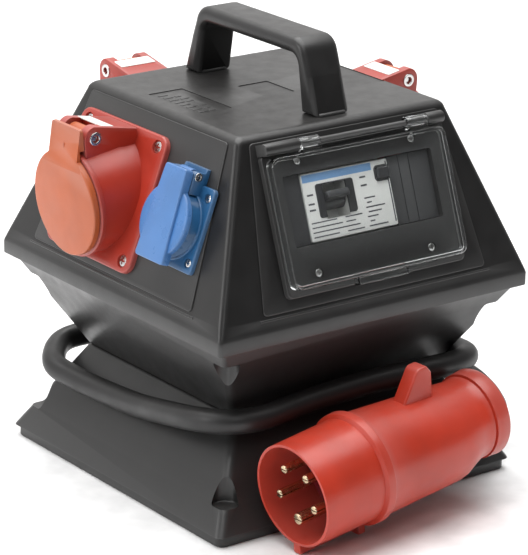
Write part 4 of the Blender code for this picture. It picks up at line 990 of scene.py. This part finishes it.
device_grey = moulded("device_grey", DEVICE_GREY, 0.45, grain=0.0007, relief=0.00004, worn=0.0)
print_ink = moulded("print_ink", PRINT_INK, 0.55, worn=0.0)
strip_blue = moulded("strip_blue", STRIP_BLUE, 0.45, worn=0.0)
control_black = moulded("control_black", (0.022, 0.022, 0.024), 0.38, worn=0.2)

nose = block(
    (RCD_LEFT, RCD_LOW, RCD_BACK + 0.001), (RCD_RIGHT, RCD_HIGH, RCD_FACE), front, edge=0.0006,
    round_by=0.0012,
)
breaker = piece("breaker_case", nose, device_grey, "housing", ["rcd_body"])
case = block(
    (RCD_LEFT, RCD_LOW - 0.020, RCD_BACK), (RCD_RIGHT, RCD_HIGH + 0.020, RCD_SHOULDER), front, edge=0.0006,
)
worked(breaker, case, "UNION")
slot_low = (TOGGLE_LEFT - 0.0005, TOGGLE_UP - 0.0115, RCD_FACE - 0.0140)
worked(breaker, block(slot_low, (TOGGLE_RIGHT + 0.0005, TOGGLE_UP + 0.0115, 0.02), front))
well_low = (BUTTON_X - BUTTON_HALF_X - 0.0004, BUTTON_UP - BUTTON_HALF_Y - 0.0004, RCD_FACE - 0.0080)
well_high = (BUTTON_X + BUTTON_HALF_X + 0.0004, BUTTON_UP + BUTTON_HALF_Y + 0.0004, 0.02)
worked(breaker, block(well_low, well_high, front))

# Painted shadow and reflection: a dark patch round the toggle's slot, where the toggle's shadow and
# reflection fall on the breaker face.
toggle_shade_patch = block(
    (-0.0360, 0.0640, RCD_FACE - 0.0002), (-0.0050, 0.0865, RCD_FACE + 0.0009), front, edge=0.0004,
    round_by=0.002,
)
collar = block((BUTTON_X - 0.0064, BUTTON_UP - 0.0054, RCD_FACE - 0.0002),
               (BUTTON_X + 0.0064, BUTTON_UP + 0.0054, RCD_FACE + 0.0007), front, edge=0.0003, round_by=0.003)
shade_patch_and_collar = piece("toggle_shade_patch_and_button_collar", [toggle_shade_patch, collar], control_black, "housing")
worked(shade_patch_and_collar, [
    block(slot_low, (TOGGLE_RIGHT + 0.0005, TOGGLE_UP + 0.0115, 0.02), front),
    block(well_low, well_high, front),
])

at_toggle = front @ Matrix.Translation((0, TOGGLE_UP, RCD_FACE - 0.0072))
barrel = eased([
    (0, TOGGLE_LEFT), (TOGGLE_R, TOGGLE_LEFT, 0.0006), (TOGGLE_R, TOGGLE_RIGHT, 0.0006), (0, TOGGLE_RIGHT),
])
toggle = piece(
    "breaker_toggle", turned(barrel, 48, at_toggle @ AXIS_X), control_black, "rcd_toggle",
    ["rcd_toggle"],
)
lever = block((TOGGLE_LEFT, -0.0025, 0), (TOGGLE_RIGHT, 0.0025, 0.0130),
at_toggle @ Matrix.Rotation(math.radians(-22), 4, "X"),
              edge=0.0010, round_by=0.0016)
worked(toggle, lever, "UNION")
button = slab(
    rounded_square(BUTTON_HALF_X, BUTTON_HALF_Y, 0.0016), RCD_FACE - 0.0050, RCD_FACE + 0.0025,
    front @ Matrix.Translation((BUTTON_X, BUTTON_UP, 0)), edge=0.0008,
)
piece("breaker_test_button", button, control_black, "rcd_test_button", ["rcd_test_button"])

ink = []
for row in range(7):
    y = 0.0520 + 0.0031 * row
    if row < 4:
        ink.append(block(
            (-0.0440, y, RCD_FACE - 0.0002), (-0.0230 + 0.004 * (row * 2 % 3), y + 0.0008, RCD_FACE + 0.0001),
            front,
        ))
        ink.append(block(
            (-0.0160, y, RCD_FACE - 0.0002), (-0.0020 - 0.003 * (row % 3), y + 0.0008, RCD_FACE + 0.0001),
            front,
        ))
    start = 0.0020 + 0.0015 * (row % 2)
    ink.append(block(
        (start, y, RCD_FACE - 0.0002), (0.0180 - 0.0035 * (row * 3 % 4), y + 0.0009, RCD_FACE + 0.0001),
        front,
    ))
for x, y in ((-0.0435, 0.0795), (-0.0435, 0.0735), (-0.0435, 0.0695), (0.0010, 0.0790), (0.0010, 0.0845)):
    ink.append(block((x, y, RCD_FACE - 0.0002), (x + 0.0050, y + 0.0012, RCD_FACE + 0.0001), front))
ink.append(block((0.0240, 0.0520, RCD_FACE - 0.0002), (0.0250, 0.0925, RCD_FACE + 0.0001), front))
piece("breaker_print", ink, print_ink, "housing")
tint = block((-0.0452, 0.0885, RCD_FACE - 0.0002), (0.0120, 0.0935, RCD_FACE + 0.0001), front)
piece("breaker_blue_strip", tint, strip_blue, "housing")

for name, low, high in (
    ("blanking_strip_left", -APERTURE_HALF_X, RCD_LEFT),
    ("blanking_strip_right", RCD_RIGHT, APERTURE_HALF_X),
):
    low, high = low + GAP * 2, high - GAP * 2
    strip = block((low, APERTURE_LOW + GAP, -0.0010), (high, APERTURE_HIGH - GAP, 0.0015), front, edge=0.0004)
    fitted = piece(f"{name}_cut", strip, control_black, "housing", [name])
    grooves = []
    for line in range(1, int((high - low) / 0.0088)):
        x = low + 0.0088 * line
        grooves.append(block(
            (x - 0.0003, APERTURE_LOW - 0.01, 0.0010), (x + 0.0003, APERTURE_HIGH + 0.01, 0.01), front,
        ))
    if grooves:
        worked(fitted, grooves)

RAIL_T, RAIL_HALF, RAIL_LENGTH = 0.0012, 0.0175, 0.120
rail_profile = [
    (RAIL_HALF, 0), (RAIL_HALF, -RAIL_T), (0.0135, -RAIL_T), (0.0135, -0.0075), (-0.0135, -0.0075),
    (-0.0135, -RAIL_T),
    (-RAIL_HALF, -RAIL_T), (-RAIL_HALF, 0), (-0.0123, 0), (-0.0123, -0.0063), (0.0123, -0.0063), (0.0123, 0),
]
at_rail = front @ Matrix.Translation((0, (RCD_LOW + RCD_HIGH) / 2, RCD_BACK - GAP))
at_rail = at_rail @ Matrix.Rotation(math.pi / 2, 4, "Z") @ Matrix.Rotation(math.pi / 2, 4, "X")
rail = piece(
    "mounting_rail", slab(rail_profile, -RAIL_LENGTH / 2, RAIL_LENGTH / 2, at_rail), bright_steel, "housing",
    ["din_rail"],
)
low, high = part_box("terminal_block")
terminals = piece(
    "terminal_row", block(low, high, edge=0.0010, round_by=0.0016), device_grey, "housing",
    ["terminal_block"],
)
wells = []
for pole in range(5):
    spot = Matrix.Translation((-0.036 + 0.018 * pole, 0, high.z))
    wells.append(turned([(0, -0.008), (0.0045, -0.008), (0.0045, 0.001), (0, 0.001)], 24, spot))
worked(terminals, wells)

# Screws. Every pan-head screw that holds the sockets and the window frame, in bright zinc-plated steel.
screws = piece("face_screws", screw_shapes, bright_steel, "housing")
worked(screws, screw_slots)

# Floor and light. A wide pale sheet, a bright backdrop behind the box and a darker room in front of it,
# one large soft light overhead and two softboxes, to the left and over the front left corner.
FLOOR_WHITE, ROOM_DARK, ROOM_BRIGHT = (0.93, 0.93, 0.93), 0.10, 0.95
floor_mesh = bpy.data.meshes.new("floor")
floor_mesh.from_pydata([(-6, -6, 0), (8, -6, 0), (8, 8, 0), (-6, 8, 0)], [], [(0, 1, 2, 3)])
floor = bpy.data.objects.new("floor", floor_mesh)
bpy.context.scene.collection.objects.link(floor)
floor_white = moulded("floor_white", FLOOR_WHITE, 0.75, grain=0.002, worn=0.0)
floor_mesh.materials.append(floor_white)

room = bpy.data.worlds.new("room")
room.use_nodes = True
bpy.context.scene.world = room
way = wired(room, "ShaderNodeTexCoord").outputs["Generated"]
back_and_front = wired(room, "ShaderNodeSeparateXYZ", Vector=way).outputs["Y"]
glow = ranged(room, back_and_front, ROOM_DARK, ROOM_BRIGHT, -0.55, 0.75)
room.node_tree.links.new(glow, room.node_tree.nodes["Background"].inputs["Strength"])
room.node_tree.nodes["Background"].inputs["Color"].default_value = (1.0, 0.99, 0.98, 1)

LIGHTS = [
    ("overhead", (0.0, 0.3, 2.6), (0, 0, 0), 3.2, 3.2, 128),
    ("left_box", (-2.3, 0.4, 1.1), (0, 0, 0.15), 1.0, 1.3, 14),
    ("corner_box", (-1.3, -1.9, 2.2), (0, 0, 0.15), 0.9, 0.9, 8),
]
for name, stands, aims, width, height, watts in LIGHTS:
    light = bpy.data.lights.new(name, "AREA")
    light.shape, light.size, light.size_y, light.energy = "RECTANGLE", width, height, watts
    lamp = bpy.data.objects.new(name, light)
    lamp.matrix_world = Matrix.Translation(stands) @ (Vector(aims) - Vector(stands)).to_track_quat(
        "-Z", "Y",
    ).to_matrix().to_4x4()
    bpy.context.scene.collection.objects.link(lamp)
bpy.context.scene.view_settings.view_transform = "Standard"
bpy.context.scene.view_settings.look = "None"
